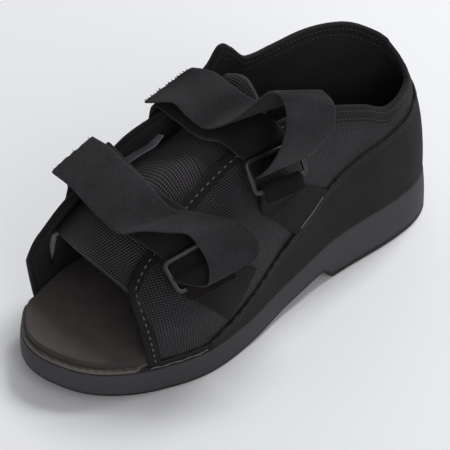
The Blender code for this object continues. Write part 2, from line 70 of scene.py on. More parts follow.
# Plan and side view of the sole, shares of its length, half width and heights
plan = columns(
    ("station", "half", "centre"),
    (0.00, 0.000, -0.078),
    (0.03, 0.352, -0.085),
    (0.10, 0.534, -0.094),
    (0.20, 0.619, -0.100),
    (0.32, 0.648, -0.073),
    (0.45, 0.719, -0.004),
    (0.58, 0.872, 0.026),
    (0.70, 1.000, -0.010),
    (0.80, 0.931, -0.019),
    (0.88, 0.787, 0.000),
    (0.94, 0.594, 0.014),
    (0.98, 0.333, 0.024),
    (1.00, 0.000, 0.029),
)

profile = columns(
    ("station", "heel", "toe", "arch"),
    (0.000, 1.07, 0.00, 0.00),
    (0.100, 1.00, 0.00, 0.00),
    (0.200, 1.00, 0.00, 0.00),
    (0.318, 0.84, 0.00, 0.00),
    (0.349, 0.73, 0.00, 1.00),
    (0.420, 0.48, 0.00, 0.78),
    (0.500, 0.23, 0.00, 0.42),
    (0.560, 0.09, 0.00, 0.15),
    (0.620, 0.02, 0.00, 0.00),
    (0.700, 0.00, 0.00, 0.00),
    (0.800, 0.00, 0.07, 0.00),
    (0.900, 0.00, 0.35, 0.00),
    (1.000, 0.00, 0.85, 0.00),
)

# Free edge of the upper, top seam of the counter, and the tongue's sections
topline = columns(
    ("station", "lean", "height", "round", "sweep"),
    (-0.905, 0.020, 0.300, 2.2, 0.014),
    (-0.890, 0.060, 0.400, 2.4, 0.010),
    (-0.870, 0.100, 0.465, 2.6, 0.006),
    (-0.845, 0.170, 0.555, 2.8, 0.004),
    (-0.800, 0.250, 0.660, 3.2, 0.000),
    (-0.700, 0.300, 0.795, 3.6, 0.000),
    (-0.595, 0.250, 0.950, 3.6, 0.000),
    (-0.530, 0.160, 1.010, 3.4, 0.000),
    (-0.470, 0.095, 1.090, 3.2, 0.000),
    (-0.437, 0.085, 1.185, 3.0, 0.000),
    (-0.415, 0.085, 1.130, 3.0, 0.000),
    (-0.380, 0.085, 1.010, 3.0, 0.000),
    (-0.340, 0.085, 0.985, 3.0, 0.000),
    (-0.240, 0.080, 0.965, 3.0, 0.000),
    (-0.140, 0.075, 0.925, 2.8, 0.000),
    (-0.060, 0.100, 0.830, 2.6, 0.000),
    (0.000, 0.190, 0.690, 2.5, 0.000),
    (0.060, 0.160, 0.622, 2.5, 0.000),
    (0.130, 0.125, 0.615, 2.8, 0.000),
    (0.210, 0.125, 0.725, 3.0, 0.000),
    (0.300, 0.150, 0.845, 3.2, 0.000),
    (0.410, 0.270, 0.945, 3.4, 0.000),
    (0.460, 0.360, 0.935, 3.6, 0.000),
    (0.530, 0.460, 0.900, 3.8, 0.000),
    (0.617, 0.550, 0.800, 4.0, 0.000),
    (0.700, 0.590, 0.656, 4.1, 0.004),
    (0.755, 0.530, 0.550, 4.0, 0.013),
    (0.795, 0.350, 0.480, 3.6, 0.022),
    (0.812, 0.187, 0.437, 3.0, 0.016),
)

counterSeam = columns(
    ("station", "height"),
    (0.000, 0.555),
    (0.060, 0.500),
    (0.130, 0.470),
    (0.200, 0.455),
    (0.300, 0.420),
    (0.380, 0.325),
    (0.460, 0.262),
    (0.540, 0.180),
    (0.610, 0.110),
    (0.680, 0.055),
)

tongueRows = columns(
    ("outer", "inner", "ridge", "shift", "tuck", "leave", "low"),
    (0.800, 0.852, 0.520, -0.10, 0.86, 0.82, 0.30),
    (0.770, 0.812, 0.610, -0.10, 0.80, 0.78, 0.26),
    (0.700, 0.735, 0.690, -0.10, 0.80, 0.77, 0.26),
    (0.617, 0.640, 0.820, -0.10, 0.82, 0.77, 0.34),
    (0.540, 0.555, 0.890, -0.12, 0.84, 0.77, 0.46),
    (0.470, 0.480, 0.935, -0.14, 0.86, 0.80, 0.62),
    (0.425, 0.428, 1.060, -0.16, 0.93, 0.86, 0.76),
)


def through(xs, ys, x):  # smooth curve through a table's points that never overshoots between two of them
    x = np.asarray(x, float)
    step = np.diff(xs)
    rise = np.diff(ys) / step
    heavy, light = 2 * step[1:] + step[:-1], step[1:] + 2 * step[:-1]
    turning = rise[:-1] * rise[1:] <= 0
    safe = [np.where(turning, 1.0, part) for part in (rise[:-1], rise[1:])]
    inner = np.where(turning, 0.0, (heavy + light) / (heavy / safe[0] + light / safe[1]))
    slope = np.concatenate([rise[:1], inner, rise[-1:]])
    i = np.clip(np.searchsorted(xs, x) - 1, 0, len(xs) - 2)
    t = (x - xs[i]) / step[i]
    return (
        (1 + 2 * t) * (1 - t) ** 2 * ys[i]
        + t * (1 - t) ** 2 * step[i] * slope[i]
        + t * t * (3 - 2 * t) * ys[i + 1]
        + t * t * (t - 1) * step[i] * slope[i + 1]
    )


def smoothStep(low, high, x):
    t = np.clip((np.asarray(x, float) - low) / (high - low), 0, 1)
    return t * t * (3 - 2 * t)


def unit(vectors):
    return vectors / np.linalg.norm(vectors, axis=-1, keepdims=True)


# Sole and last
def soleTop(station):  # ball height plus shares of the heel's extra height and of the toe spring
    heel = through(profile["station"], profile["heel"], station)
    toe = through(profile["station"], profile["toe"], station)
    return sole["ballTop"] + (sole["heelTop"] - sole["ballTop"]) * heel + sole["toeSpring"] * toe


def soleBottom(station):  # flat heel, slanted breast, arch that fades out, flat ball, parabola up to the toe
    breast = smoothStep(*sole["breast"], station)
    arch = np.where(station < sole["breast"][1], breast, through(profile["station"], profile["arch"], station))
    spring = np.clip((station - sole["springStart"]) / (1 - sole["springStart"]), 0, 1) ** 2
    return sole["archRise"] * arch + sole["toeSpring"] * spring


def halfWidth(station):  # the squares of the half widths are interpolated, so that both ends come out round
    square = through(plan["station"], plan["half"] ** 2, np.clip(station, 0, 1))
    return last["ballHalfWidth"] * np.sqrt(np.maximum(square, 0))


def middleOf(station):
    return last["ballHalfWidth"] * through(plan["station"], plan["centre"], station)


def edgeOf(station, side):
    return np.stack(
        [middleOf(station) + side * halfWidth(station), last["heelRest"] - station * last["length"]], -1
    )


# Wall of the upper: run goes round the heel from the inner to the outer toe opening, rise goes up to the free edge
def stationOf(run):
    return np.sqrt(run * run + upper["heelTurn"] ** 2) - upper["heelTurn"]


def runOf(station):
    size = np.abs(station)
    return np.sign(station) * np.sqrt((size + upper["heelTurn"]) ** 2 - upper["heelTurn"] ** 2)


def topEdge(column, run):
    return through(runOf(topline["station"]), topline[column], run)


def wallHeight(run):
    return last["instepHeight"] * topEdge("height", run)


def wall(run, rise):  # foot on the sole's outline, leaning in by a power of the rise, swept towards the toe
    run, rise = np.broadcast_arrays(np.asarray(run, float), np.asarray(rise, float))

    def foot(at):
        return edgeOf(stationOf(at), np.where(at < 0, -1.0, 1.0))

    step = 1e-4
    along = foot(run + step) - foot(run - step)
    inward = unit(np.stack([along[..., 1], -along[..., 0]], -1))
    share = np.maximum(rise, 0) ** topEdge("round", run)
    inset = sole["flare"] + upper["setback"] + last["ballHalfWidth"] * topEdge("lean", run) * share
    place = foot(run) + inward * inset[..., None]
    place[..., 1] -= last["length"] * topEdge("sweep", run) * rise
    height = soleTop(stationOf(run)) + last["gap"] + wallHeight(run) * rise
    return np.concatenate([place, height[..., None]], -1)


def wallNormal(run, rise):
    step = 1e-4
    along = wall(run + step, rise) - wall(run - step, rise)
    up = wall(run, rise + step) - wall(run, np.maximum(rise - step, 0))
    return unit(np.cross(up, along))


def onWall(run, rise, lift):  # wall moved along its normal
    return wall(run, rise) + wallNormal(run, rise) * np.asarray(lift, float)[..., None]


def counterHeight(run):
    height = last["instepHeight"] * through(counterSeam["station"], counterSeam["height"], stationOf(run))
    return np.minimum(height, wallHeight(run) - 1.25 * upper["bindingWidth"])


# Curves
def spline(points, samples):  # Catmull-Rom curve through the points, resampled at even distances
    points = np.asarray(points, float)
    chord = np.concatenate([[0], np.cumsum(np.sqrt(np.linalg.norm(np.diff(points, axis=0), axis=1)))])
    padded = np.concatenate([[2 * points[0] - points[1]], points, [2 * points[-1] - points[-2]]])
    fine = np.linspace(0, chord[-1], 12 * samples)
    i = np.clip(np.searchsorted(chord, fine) - 1, 0, len(points) - 2)
    t = ((fine - chord[i]) / (chord[i + 1] - chord[i]))[:, None]
    before, start, end, beyond = padded[i], padded[i + 1], padded[i + 2], padded[i + 3]
    curve = 0.5 * (
        2 * start
        + (end - before) * t
        + (2 * before - 5 * start + 4 * end - beyond) * t**2
        + (3 * start - before - 3 * end + beyond) * t**3
    )
    length = np.concatenate([[0], np.cumsum(np.linalg.norm(np.diff(curve, axis=0), axis=1))])
    even = np.linspace(0, length[-1], samples)
    return np.stack([np.interp(even, length, curve[:, k]) for k in range(curve.shape[1])], -1)


def travelled(path):  # distance along a row of points
    return np.concatenate([[0], np.cumsum(np.linalg.norm(np.diff(path, axis=0), axis=1))])


def wander(u, v, size, seed):  # soft dents: a sum of four sine waves in different directions, about -1 to 1
    rng = np.random.default_rng(seed)
    angles, phases, scales = rng.uniform(0, 6.28, 4), rng.uniform(0, 6.28, 4), rng.uniform(0.7, 1.6, 4)
    waves = [
        np.sin(6.28 * scale * (u * math.cos(angle) + v * math.sin(angle)) / size + phase)
        for angle, phase, scale in zip(angles, phases, scales)
    ]
    return sum(waves) / 4


# Meshes
def sheet(points, uv, slot=0):
    return {"points": points, "uv": np.broadcast_to(uv, points.shape[:-1] + (2,)), "slot": slot}


def patch(u, v):  # texture coordinates of a grid in metres
    u, v = np.broadcast_arrays(u, v)
    return np.stack([u, v], -1)


def makePiece(name, sheets, paints, replaces=(), sharp=40):  # grids of points joined into one mesh
    points, faces, uvs, slots, start = [], [], [], [], 0
    for part in sheets:
        size = part["points"].shape[:-1]
        index = start + np.arange(np.prod(size)).reshape(size)
        low, high = index[..., :-1, :], index[..., 1:, :]
        quads = np.stack([low[..., :-1], high[..., :-1], high[..., 1:], low[..., 1:]], -1).reshape(-1, 4)
        points.append(part["points"].reshape(-1, 3))
        uvs.append(part["uv"].reshape(-1, 2))
        faces.append(quads)
        slots.append(np.full(len(quads), part["slot"]))
        start += index.size
    points, faces, uvs, slots = (np.concatenate(group) for group in (points, faces, uvs, slots))
    mesh = bpy.data.meshes.new(name)
    mesh.from_pydata(points.tolist(), [], faces.tolist())
    mesh.polygons.foreach_set("material_index", slots)
    mesh.uv_layers.new(name="cloth").data.foreach_set("uv", uvs[faces].ravel())
    tidy = bmesh.new()
    tidy.from_mesh(mesh)
    bmesh.ops.remove_doubles(tidy, verts=tidy.verts, dist=2e-6)
    bmesh.ops.recalc_face_normals(tidy, faces=tidy.faces)
    tidy.to_mesh(mesh)
    tidy.free()
    mesh.shade_smooth()
    mesh.set_sharp_from_angle(angle=math.radians(sharp))
    for paint in paints:
        mesh.materials.append(paint)
    piece = bpy.data.objects.new(name, mesh)
    bpy.context.scene.collection.objects.link(piece)
    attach(piece, "root")
    if replaces:
        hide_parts(*replaces)
    return piece


def between(first, second, steps, bulge=None):  # rim that joins two rows of points, rounded outwards by bulge
    t = np.linspace(0, 1, steps)[:, None, None]
    rim = first[None] * (1 - t) + second[None] * t
    if bulge is not None:
        rim = rim + np.sin(np.pi * t) * bulge[None]
    return rim


def shell(outer, inner, uvOuter, uvInner, slots=(0, 1, 0), roundness=0.5):
    # two grids joined along their four borders by half-round rims; slots are those of outer, inner and rim
    thick = np.linalg.norm(outer - inner, axis=-1)
    sheets = [sheet(outer, uvOuter, slots[0]), sheet(inner, uvInner, slots[1])]
    borders = (
        (outer[0], inner[0], outer[0] - outer[1], thick[0], uvOuter[0]),
        (outer[-1], inner[-1], outer[-1] - outer[-2], thick[-1], uvOuter[-1]),
        (outer[:, 0], inner[:, 0], outer[:, 0] - outer[:, 1], thick[:, 0], uvOuter[:, 0]),
        (outer[:, -1], inner[:, -1], outer[:, -1] - outer[:, -2], thick[:, -1], uvOuter[:, -1]),
    )
    for first, second, away, size, uv in borders:
        bulge = unit(away) * roundness * size[:, None]
        bulge[[0, -1]] = 0
        rim = between(first, second, 5, bulge)
        sheets.append(sheet(rim, np.repeat(uv[None], 5, 0), slots[2]))
    return sheets


def tube(path, radius, sides=8, slot=0):  # round bar along an open path, closed at both ends
    ahead = unit(np.gradient(path, axis=0))
    up = unit(np.cross(ahead, np.array([0.31, 0.52, 0.80])))
    side = np.cross(ahead, up)
    angle = np.linspace(0, 2 * np.pi, sides + 1)[None, :, None]
    radius = np.broadcast_to(radius, len(path))[:, None, None]
    skin = path[:, None] + radius * (np.cos(angle) * up[:, None] + np.sin(angle) * side[:, None])
    length = travelled(path)[:, None]
    caps = [np.stack([skin[end], np.repeat(path[end][None], sides + 1, 0)]) for end in (0, -1)]
    flat = np.zeros((2, sides + 1, 2))
    uv = patch(length, np.linspace(0, 0.004, sides + 1)[None])
    return [sheet(skin, uv, slot)] + [sheet(cap, flat, slot) for cap in caps]


def stitchRow(path, normal, length, pitch, size, slot=0, slant=0.0):
    # one low spindle for each stitch, copied along the path and half sunk in the cloth
    far = travelled(path)
    places = np.arange(0.5 * pitch, far[-1] - 0.5 * pitch, pitch)
    centre = np.stack([np.interp(places, far, path[:, k]) for k in range(3)], -1)
    up = unit(np.stack([np.interp(places, far, normal[:, k]) for k in range(3)], -1))
    ahead = unit(np.stack([np.interp(places, far, np.gradient(path, axis=0)[:, k]) for k in range(3)], -1))
    side = unit(np.cross(up, ahead))
    ahead = unit(ahead + slant * side)
    side = np.cross(up, ahead)
    along = np.linspace(-0.5, 0.5, 5)[:, None]
    taper = size * np.array([0.0, 0.8, 1.0, 0.8, 0.0])[:, None]
    angle = np.linspace(0, 2 * np.pi, 7)[None]
    shape = (along * length + 0 * angle, taper * np.cos(angle), 0.6 * taper * np.sin(angle))
    axes = (axis[:, None, None] for axis in (ahead, side, up))
    grids = centre[:, None, None] + sum(part[..., None] * axis for part, axis in zip(shape, axes))
    return [sheet(grids, np.zeros(2), slot)]


# Materials
class Wire:  # a socket of a material's tree: arithmetic on it adds Math nodes
    def __init__(self, tree, socket=None):
        self.tree = tree
        self.socket = socket

    def node(self, kind, settings=None, values=None, output=0):  # any other node
        made = self.tree.nodes.new("ShaderNode" + kind)
        for name, value in (settings or {}).items():
            if name == "stops":
                ramp = made.color_ramp.elements
                while len(ramp) < len(value):
                    ramp.new(0.5)
                for element, (position, level) in zip(ramp, value):
                    element.position = position
                    element.color = (level, level, level, 1)
            else:
                setattr(made, name, value)
        for name, value in (values or {}).items():
            if isinstance(value, Wire):
                self.tree.links.new(value.socket, made.inputs[name])
            else:
                made.inputs[name].default_value = value
        return Wire(self.tree, made.outputs[output])

    def maths(self, operation, *values):
        return self.node("Math", {"operation": operation}, dict(enumerate(values)))

    def __add__(self, other):
        return self.maths("ADD", self, other)

    def __radd__(self, other):
        return self.maths("ADD", other, self)

    def __sub__(self, other):
        return self.maths("SUBTRACT", self, other)

    def __rsub__(self, other):
        return self.maths("SUBTRACT", other, self)

    def __mul__(self, other):
        return self.maths("MULTIPLY", self, other)

    def __rmul__(self, other):
        return self.maths("MULTIPLY", other, self)

    def __pow__(self, other):
        return self.maths("POWER", self, other)

    def sin(self):
        return self.maths("SINE", self)

    def size(self):
        return self.maths("ABSOLUTE", self)

    def over(self, low, high):  # 0 below low, 1 above high
        return self.node("MapRange", {"interpolation_type": "SMOOTHSTEP"}, {0: self, 1: low, 2: high})

    def mix(self, first, second):  # colour between two others, by this value
        return self.node("Mix", {"data_type": "RGBA"}, {0: self, 6: first, 7: second}, 2)

    def noise(self, vector, scale, detail=3.0, roughness=0.55):
        values = {"Vector": vector, "Scale": scale, "Detail": detail, "Roughness": roughness}
        return self.node("TexNoise", None, values)


def rgb(red, green, blue):  # a colour read off a screen, 0 to 255, as linear light
    return tuple((value / 255) ** 2.2 for value in (red, green, blue)) + (1.0,)


class Paint:  # a material under way, with its coordinates and its shader
    def __init__(self, name, **constants):
        self.material = bpy.data.materials.new(name)
        self.material.use_nodes = True
        self.tree = self.material.node_tree
        self.shader = self.tree.nodes["Principled BSDF"]
        self.wire = Wire(self.tree)
        for socket, value in constants.items():
            self.shader.inputs[socket.replace("_", " ")].default_value = value
        self.place = self.wire.node("TexCoord", None, None, "Object")
        cloth = self.wire.node("UVMap", {"uv_map": "cloth"})
        self.u = self.wire.node("SeparateXYZ", None, {0: cloth}, 0)
        self.v = self.wire.node("SeparateXYZ", None, {0: cloth}, 1)
        self.cloth = cloth

    def finish(self, colour, roughness, height, depth, strength=1.0):
        for name, value in (("Base Color", colour), ("Roughness", roughness)):
            if isinstance(value, Wire):
                self.tree.links.new(value.socket, self.shader.inputs[name])
            else:
                self.shader.inputs[name].default_value = value
        bump = self.wire.node("Bump", None, {"Height": height, "Distance": depth, "Strength": strength})
        self.tree.links.new(bump.socket, self.shader.inputs["Normal"])
        return self.material


def wave(wire, pitch, phase=0.0):  # 0 to 1 and back over each pitch
    return (wire * (2 * math.pi / pitch) + phase).sin() * 0.5 + 0.5


def meshCloth(name, light, dark, pitch=0.0020, strength=0.8):
    paint = Paint(name, Specular_IOR_Level=0.25, Sheen_Weight=0.08, Sheen_Roughness=0.5)
    wire = paint.wire
    drift = wire.noise(paint.place, 260.0, 2.0) * 0.0005
    rows = wave(paint.v + drift, pitch)
    bars = wave(paint.u + drift, pitch * 1.06)
    knots = (rows**1.1) * (bars**0.6)
    fibre = wire.noise(paint.place, 5200.0, 2.0)
    patches = wire.noise(paint.place, 55.0, 3.0)
    level = knots * (0.55 + 0.6 * fibre) * (0.55 + 0.9 * patches)
    colour = level.mix(dark, light)
    return paint.finish(colour, 0.9 - 0.12 * knots, knots + 0.25 * fibre, 0.0007, strength)


def twillCloth(name, light, dark, pitch=0.0011, slope=0.35, strength=0.5, lipShadeWidth=0.0):
    paint = Paint(name, Specular_IOR_Level=0.2, Sheen_Weight=0.05)
    wire = paint.wire
    drift = wire.noise(paint.place, 90.0, 2.0) * 0.0012
    ribs = wave(paint.v + paint.u * slope + drift, pitch)
    fibre = wire.noise(paint.place, 4200.0, 2.0)
    patches = wire.noise(paint.place, 38.0, 3.0)
    level = (ribs * 0.7 + fibre * 0.3) * (0.45 + patches)
    # painted shade: the band darkens towards its lip, where it steps down onto the cloth
    if lipShadeWidth:
        level = level * paint.v.over(0.0006, lipShadeWidth)
    return paint.finish(level.mix(dark, light), 0.92 - 0.1 * ribs, ribs + 0.4 * fibre, 0.0004, strength)


def napCloth(name, light, dark, strength=0.5, paleness=0.0):
    paint = Paint(name, Specular_IOR_Level=0.2, Sheen_Weight=0.05, Sheen_Roughness=0.45)
    wire = paint.wire
    pile = wire.noise(paint.place, 1400.0, 3.0, 0.7).over(0.25, 0.75)
    tufts = wire.noise(paint.place, 480.0, 2.0)
    weft = wave(paint.u, 0.0009)
    rubbed = wire.noise(paint.place, 42.0, 3.0).over(0.35, 0.7)
    # the strap is paler along its long edges
    edge = paint.v.size().over(0.5 * straps["width"] - 0.0011, 0.5 * straps["width"])
    level = pile * 0.5 + tufts * 0.35 + rubbed * 0.25 + weft * 0.08 + edge * paleness
    return paint.finish(level.mix(dark, light), 0.95 - 0.1 * pile, pile + 0.6 * tufts + 0.15 * weft, 0.0004, strength)


def rubberSkin():
    paint = Paint("sole_rubber_look", Specular_IOR_Level=0.35)
    wire = paint.wire
    grain = wire.noise(paint.place, 1900.0, 3.0, 0.6)
    cloud = wire.noise(paint.place, 24.0, 4.0)
    height = wire.node("SeparateXYZ", None, {0: paint.place}, 2)
    wavy = wire.noise(paint.place, 70.0, 2.0) * 0.0016
    # painted shade: the sole is darker in a band along the foot of its side and in the tread grooves, standing in for
    # contact shade and shade in the grooves
    low = 1.0 - (paint.v + wavy).over(0.0068, 0.0076)
    scuff = wire.noise(paint.place, 160.0, 5.0, 0.75).over(0.62, 0.8) * (1.0 - height.over(0.004, 0.02))
    level = 0.55 * cloud + 0.25 * grain + 0.25 * scuff + 0.1
    body = level.mix(rgb(42, 41, 43), rgb(72, 70, 74))
    colour = (low * 0.85).mix(body, rgb(20, 19, 20))
    return paint.finish(colour, 0.5 + 0.22 * grain + 0.1 * cloud, grain + 0.3 * cloud, 0.00025, 0.5)


def suedeSkin():
    paint = Paint("insole_suede_look", Specular_IOR_Level=0.2, Sheen_Weight=0.12, Sheen_Roughness=0.4)
    wire = paint.wire
    nap = wire.noise(paint.place, 1300.0, 3.0, 0.65)
    strokes = wire.noise(paint.place, 75.0, 3.0)
    level = (nap * 0.55 + strokes * 0.7 - 0.1) * (0.25 + 0.75 * paint.v.over(0.0040, 0.0056))
    return paint.finish(level.mix(rgb(57, 53, 53), rgb(97, 91, 90)), 0.95 - 0.08 * nap, nap, 0.0003, 0.5)


def fibreEdge():
    paint = Paint("board_fibre_look", Specular_IOR_Level=0.2)
    wire = paint.wire
    layers = wave(wire.node("SeparateXYZ", None, {0: paint.place}, 2) + wire.noise(paint.place, 120.0) * 0.0002, 0.0008)
    fibre = wire.noise(paint.place, 900.0, 4.0, 0.7)
    level = 0.35 * layers + 0.75 * fibre
    return paint.finish(level.mix(rgb(66, 62, 59), rgb(122, 116, 110)), 0.85 + 0.1 * fibre, fibre + layers * 0.5, 0.0003)


def ringPlastic():
    paint = Paint("ring_plastic_look", Specular_IOR_Level=0.5)
    wire = paint.wire
    grain = wire.noise(paint.place, 700.0, 3.0)
    # paleness: lighter, rougher patches of wear on the ring
    paleness = wire.noise(paint.place, 120.0, 3.0).over(0.45, 0.75)
    colour = (0.6 * paleness + 0.4 * grain).mix(rgb(34, 35, 36), rgb(60, 62, 64))
    return paint.finish(colour, 0.34 + 0.22 * paleness, grain, 0.00012, 0.4)


def thread(name, colour, tint):
    paint = Paint(name, Specular_IOR_Level=0.3)
    wire = paint.wire
    ply = wire.noise(paint.place, 2600.0, 2.0)
    return paint.finish(ply.mix(colour, tint), 0.75 + 0.1 * ply, ply, 0.0001, 0.6)


looks = {
    "mesh": meshCloth("mesh_cloth_look", rgb(80, 76, 81), rgb(23, 21, 23), 0.0015, 0.6),
    "tongueMesh": meshCloth("tongue_mesh_look", rgb(104, 99, 105), rgb(17, 15, 17), 0.0016, 0.8),
    "lining": twillCloth("lining_look", rgb(50, 48, 50), rgb(22, 21, 22), 0.0013, 0.0, 0.35),
    # binding_look's last figure is the width of the painted shade at the binding's lip
    "binding": twillCloth("binding_look", rgb(40, 38, 41), rgb(18, 17, 19), 0.0010, 0.9, 0.4, 0.0016),
    "twill": twillCloth("twill_look", rgb(41, 39, 40), rgb(9, 8, 9), 0.0016, 0.12, 0.9),
    "strap": napCloth("strap_nap_look", rgb(57, 57, 60), rgb(19, 19, 20), 0.8, 0.2),
    "strapBack": twillCloth("strap_back_look", rgb(40, 40, 42), rgb(14, 14, 15), 0.0009, 0.0, 0.4),
    "velour": napCloth("velour_look", rgb(35, 31, 32), rgb(8, 6, 7), 0.6),
    "rubber": rubberSkin(),
    "suede": suedeSkin(),
    "fibre": fibreEdge(),
    "ring": ringPlastic(),
    "stitch": thread("stitch_look", rgb(52, 50, 54), rgb(86, 83, 88)),
    "paleStitch": thread("pale_stitch_look", rgb(88, 86, 90), rgb(138, 135, 140)),
    "foamEdge": thread("foam_edge_look", rgb(96, 92, 96), rgb(148, 142, 146)),
    "hem": thread("hem_look", rgb(44, 42, 46), rgb(84, 80, 86)),
    # the tape's light colour is a painted reflection off a smooth surface
    "tape": thread("edge_tape_painted_reflection_look", rgb(118, 116, 126), rgb(150, 148, 158)),
    "glue": thread("glue_look", rgb(88, 84, 82), rgb(160, 156, 152)),
}
print("materials ready")


# Sole, board and insole: rings of points round the outline, joined level by level, closed above and below
def ringStations(cuts=()):
    plain = 0.5 - 0.5 * np.cos(np.linspace(0, np.pi, 181))
    return np.unique(np.concatenate([plain, np.ravel(cuts)]))


def slabSheets(stations, levels, slot=0):
    around = np.concatenate([stations, stations[::-1]])
    side = np.repeat([1.0, -1.0], len(stations))
    edge = edgeOf(around, side)
    middle = np.stack([middleOf(around), edge[:, 1]], -1)
    ahead = np.gradient(edge, axis=0)
    length = np.linalg.norm(ahead, axis=1, keepdims=True)
    inward = np.stack([ahead[:, 1], -ahead[:, 0]], -1) / np.maximum(length, 1e-9)
    tips = np.zeros((len(around), 2))
    tips[: len(stations)] = np.where(around[: len(stations), None] < 0.5, [0.0, -1.0], [0.0, 1.0])
    tips[len(stations) :] = tips[: len(stations)][::-1]
    blunt = (np.minimum(around, 1 - around) < 1e-6)[:, None]
    inward = np.where(blunt, tips, inward)
    rings = []
    for inset, height, share in levels:
        inset = np.broadcast_to(inset(around, side) if callable(inset) else inset, len(around))
        flat = edge + inward * inset[:, None]
        flat = middle + (flat - middle) * [share, 1.0]
        rings.append(np.column_stack([flat, height(around)]))
    rings = np.array(rings)
    far = travelled(edge)
    drop = np.concatenate([[0], np.cumsum(np.linalg.norm(np.diff(rings, axis=0), axis=2).mean(1))])
    sheets = [sheet(rings, patch(far[None], drop[:, None]), slot)]
    half = len(stations)
    for ring in (rings[0], rings[-1]):
        cap = between(ring[:half], ring[half:][::-1], 9)
        sheets.append(sheet(cap, cap[..., :2] + [0, 0.5], slot))
    return sheets


grooves = np.concatenate([np.arange(0.020, 0.300, 0.040), np.arange(0.530, 0.960, 0.040)])


def makeOutsole():
    half = 0.5 * sole["grooveWidth"] / last["length"]
    cuts = grooves[:, None] + np.array([-1.5, -1.0, 1.0, 1.5]) * half

    def tread(station):
        near = np.abs(np.asarray(station)[:, None] - grooves).min(1)
        return soleBottom(station) + sole["grooveDepth"] * (1 - smoothStep(half, 1.5 * half, near))

    def level(share):  # part of the way up the side, from the tread's rounded edge to the top
        return lambda station: soleBottom(station) + (soleTop(station) - soleBottom(station)) * share

    def rounded(turn):  # quarter round at the foot of the side
        inset = sole["bevel"] * (1 - math.sin(turn))
        return inset, lambda station: soleBottom(station) + sole["bevel"] * (1 - math.cos(turn)), 1.0

    levels = [(0.0036, tread, 1.0), (0.0026, soleBottom, 1.0)]
    levels += [rounded(turn) for turn in np.radians((0, 30, 60, 90))]
    for share in np.linspace(0.14, 0.94, 10):
        belly = 0.0005 * math.sin(math.pi * share)
        levels.append((sole["flare"] * share - belly, level(share), 1.0))
    levels.append((sole["flare"] * 0.98, level(0.98), 1.0))
    levels.append((sole["flare"] + 0.0006, level(1.0), 1.0))
    makePiece("outsole_skin", slabSheets(ringStations(cuts), levels), [looks["rubber"]], ["outsole"])


def layerInset(inOpening):  # wider in the toe opening than between the walls of the upper
    enclosed = sole["flare"] + upper["setback"] + upper["wall"] + 2 * last["gap"]

    def inset(station, side):
        front = np.where(side > 0, topline["station"][-1], -topline["station"][0])
        return enclosed + (inOpening - enclosed) * smoothStep(front + 0.012, front + 0.035, station)

    return inset


def makeFootbed():
    base = last["gap"]
    top = base + footbed["board"]
    edge = layerInset(sole["flare"] + 0.0004)
    levels = [
        (lambda s, side: edge(s, side) + 0.0003, lambda s: soleTop(s) + base, 1.0),
        (edge, lambda s: soleTop(s) + base + 0.0003, 1.0),
        (edge, lambda s: soleTop(s) + top - 0.0003, 1.0),
        (lambda s, side: edge(s, side) + 0.0003, lambda s: soleTop(s) + top, 1.0),
    ]
    makePiece("board_layer", slabSheets(ringStations(), levels), [looks["fibre"]], ["insole_board"])
    bed = layerInset(sole["flare"] + 0.0026)
    base = top + last["gap"]
    top = base + footbed["insole"]
    levels = [(lambda s, side: bed(s, side) + last["gap"], lambda s: soleTop(s) + base, 1.0)]
    for turn in np.radians((0, 18, 36, 54, 72, 90)):
        inset = footbed["bevel"] * (1 - math.cos(turn))
        down = footbed["bevel"] * (1 - math.sin(turn))
        levels.append(
            (
                lambda s, side, inset=inset: bed(s, side) + last["gap"] + inset,
                lambda s, down=down: soleTop(s) + top - down,
                1.0,
            )
        )
    for share in (0.9, 0.75, 0.5, 0.25):
        levels.append(
            (
                lambda s, side: bed(s, side) + last["gap"] + footbed["bevel"],
                lambda s, share=share: soleTop(s) + top - 0.0005 * (1 - share) * np.sin(np.pi * s) ** 0.5,
                share,
            )
        )
    makePiece("foot_bed", slabSheets(ringStations(), levels), [looks["suede"]], ["insole"])


# Upper
cloth = {"dent": 0.0005, "dentSize": 0.05, "rows": 361, "across": 49}


def makeUpper():
    ends = runOf(topline["station"][[0, -1]])
    run, rise = np.meshgrid(
        np.linspace(*ends, cloth["rows"]), np.linspace(0, 1, cloth["across"]), indexing="ij"
    )
    u, v = run * last["length"], rise * wallHeight(run)
    fade = smoothStep(0, 0.25, rise) * smoothStep(0, 0.2, 1 - rise)
    dent = cloth["dent"] * fade * (wander(u, v, cloth["dentSize"], 3) - 1)
    outer = onWall(run, rise, dent)
    inner = onWall(run, rise, 0.3 * dent - upper["wall"])
    v = np.cumsum(np.linalg.norm(np.diff(outer, axis=1, prepend=outer[:, :1]), axis=-1), 1)
    sheets = shell(outer, inner, patch(u, v), patch(u, v), (0, 1, 1), 0.3)
    makePiece("quarters", sheets, [looks["mesh"], looks["lining"]], ["upper"])


def edgeLine(samples=1200):
    # free edge in the plane of the unrolled wall, front edge, top edge, front edge, with its corners rounded
    ends = runOf(topline["station"][[0, -1]])
    top = np.linspace(*ends, 700)
    up = np.linspace(0, 1, 60)[:-1]
    first = np.stack([np.full(59, ends[0] * last["length"]), up * wallHeight(ends[0])], -1)
    middle = np.stack([top * last["length"], wallHeight(top)], -1)
    final = np.stack([np.full(59, ends[1] * last["length"]), (up * wallHeight(ends[1]))[::-1]], -1)
    line = np.concatenate([first, middle, final])
    far = travelled(line)
    even = np.linspace(0, far[-1], samples)
    line = np.stack([np.interp(even, far, line[:, k]) for k in range(2)], -1)
    smooth = softened(line, int(0.006 * samples / far[-1]))
    blend = smoothStep(0, 0.006, np.minimum(even, even[-1] - even))[:, None]
    return line * (1 - blend) + smooth * blend


def softened(rows, width, axes=2):  # weighted average of each row and its neighbours
    width |= 1
    soft = np.hanning(width + 2)[1:-1]
    padded = np.concatenate([np.repeat(rows[:1], width // 2, 0), rows, np.repeat(rows[-1:], width // 2, 0)])
    return np.stack([np.convolve(padded[:, k], soft / soft.sum(), "valid") for k in range(axes)], -1)


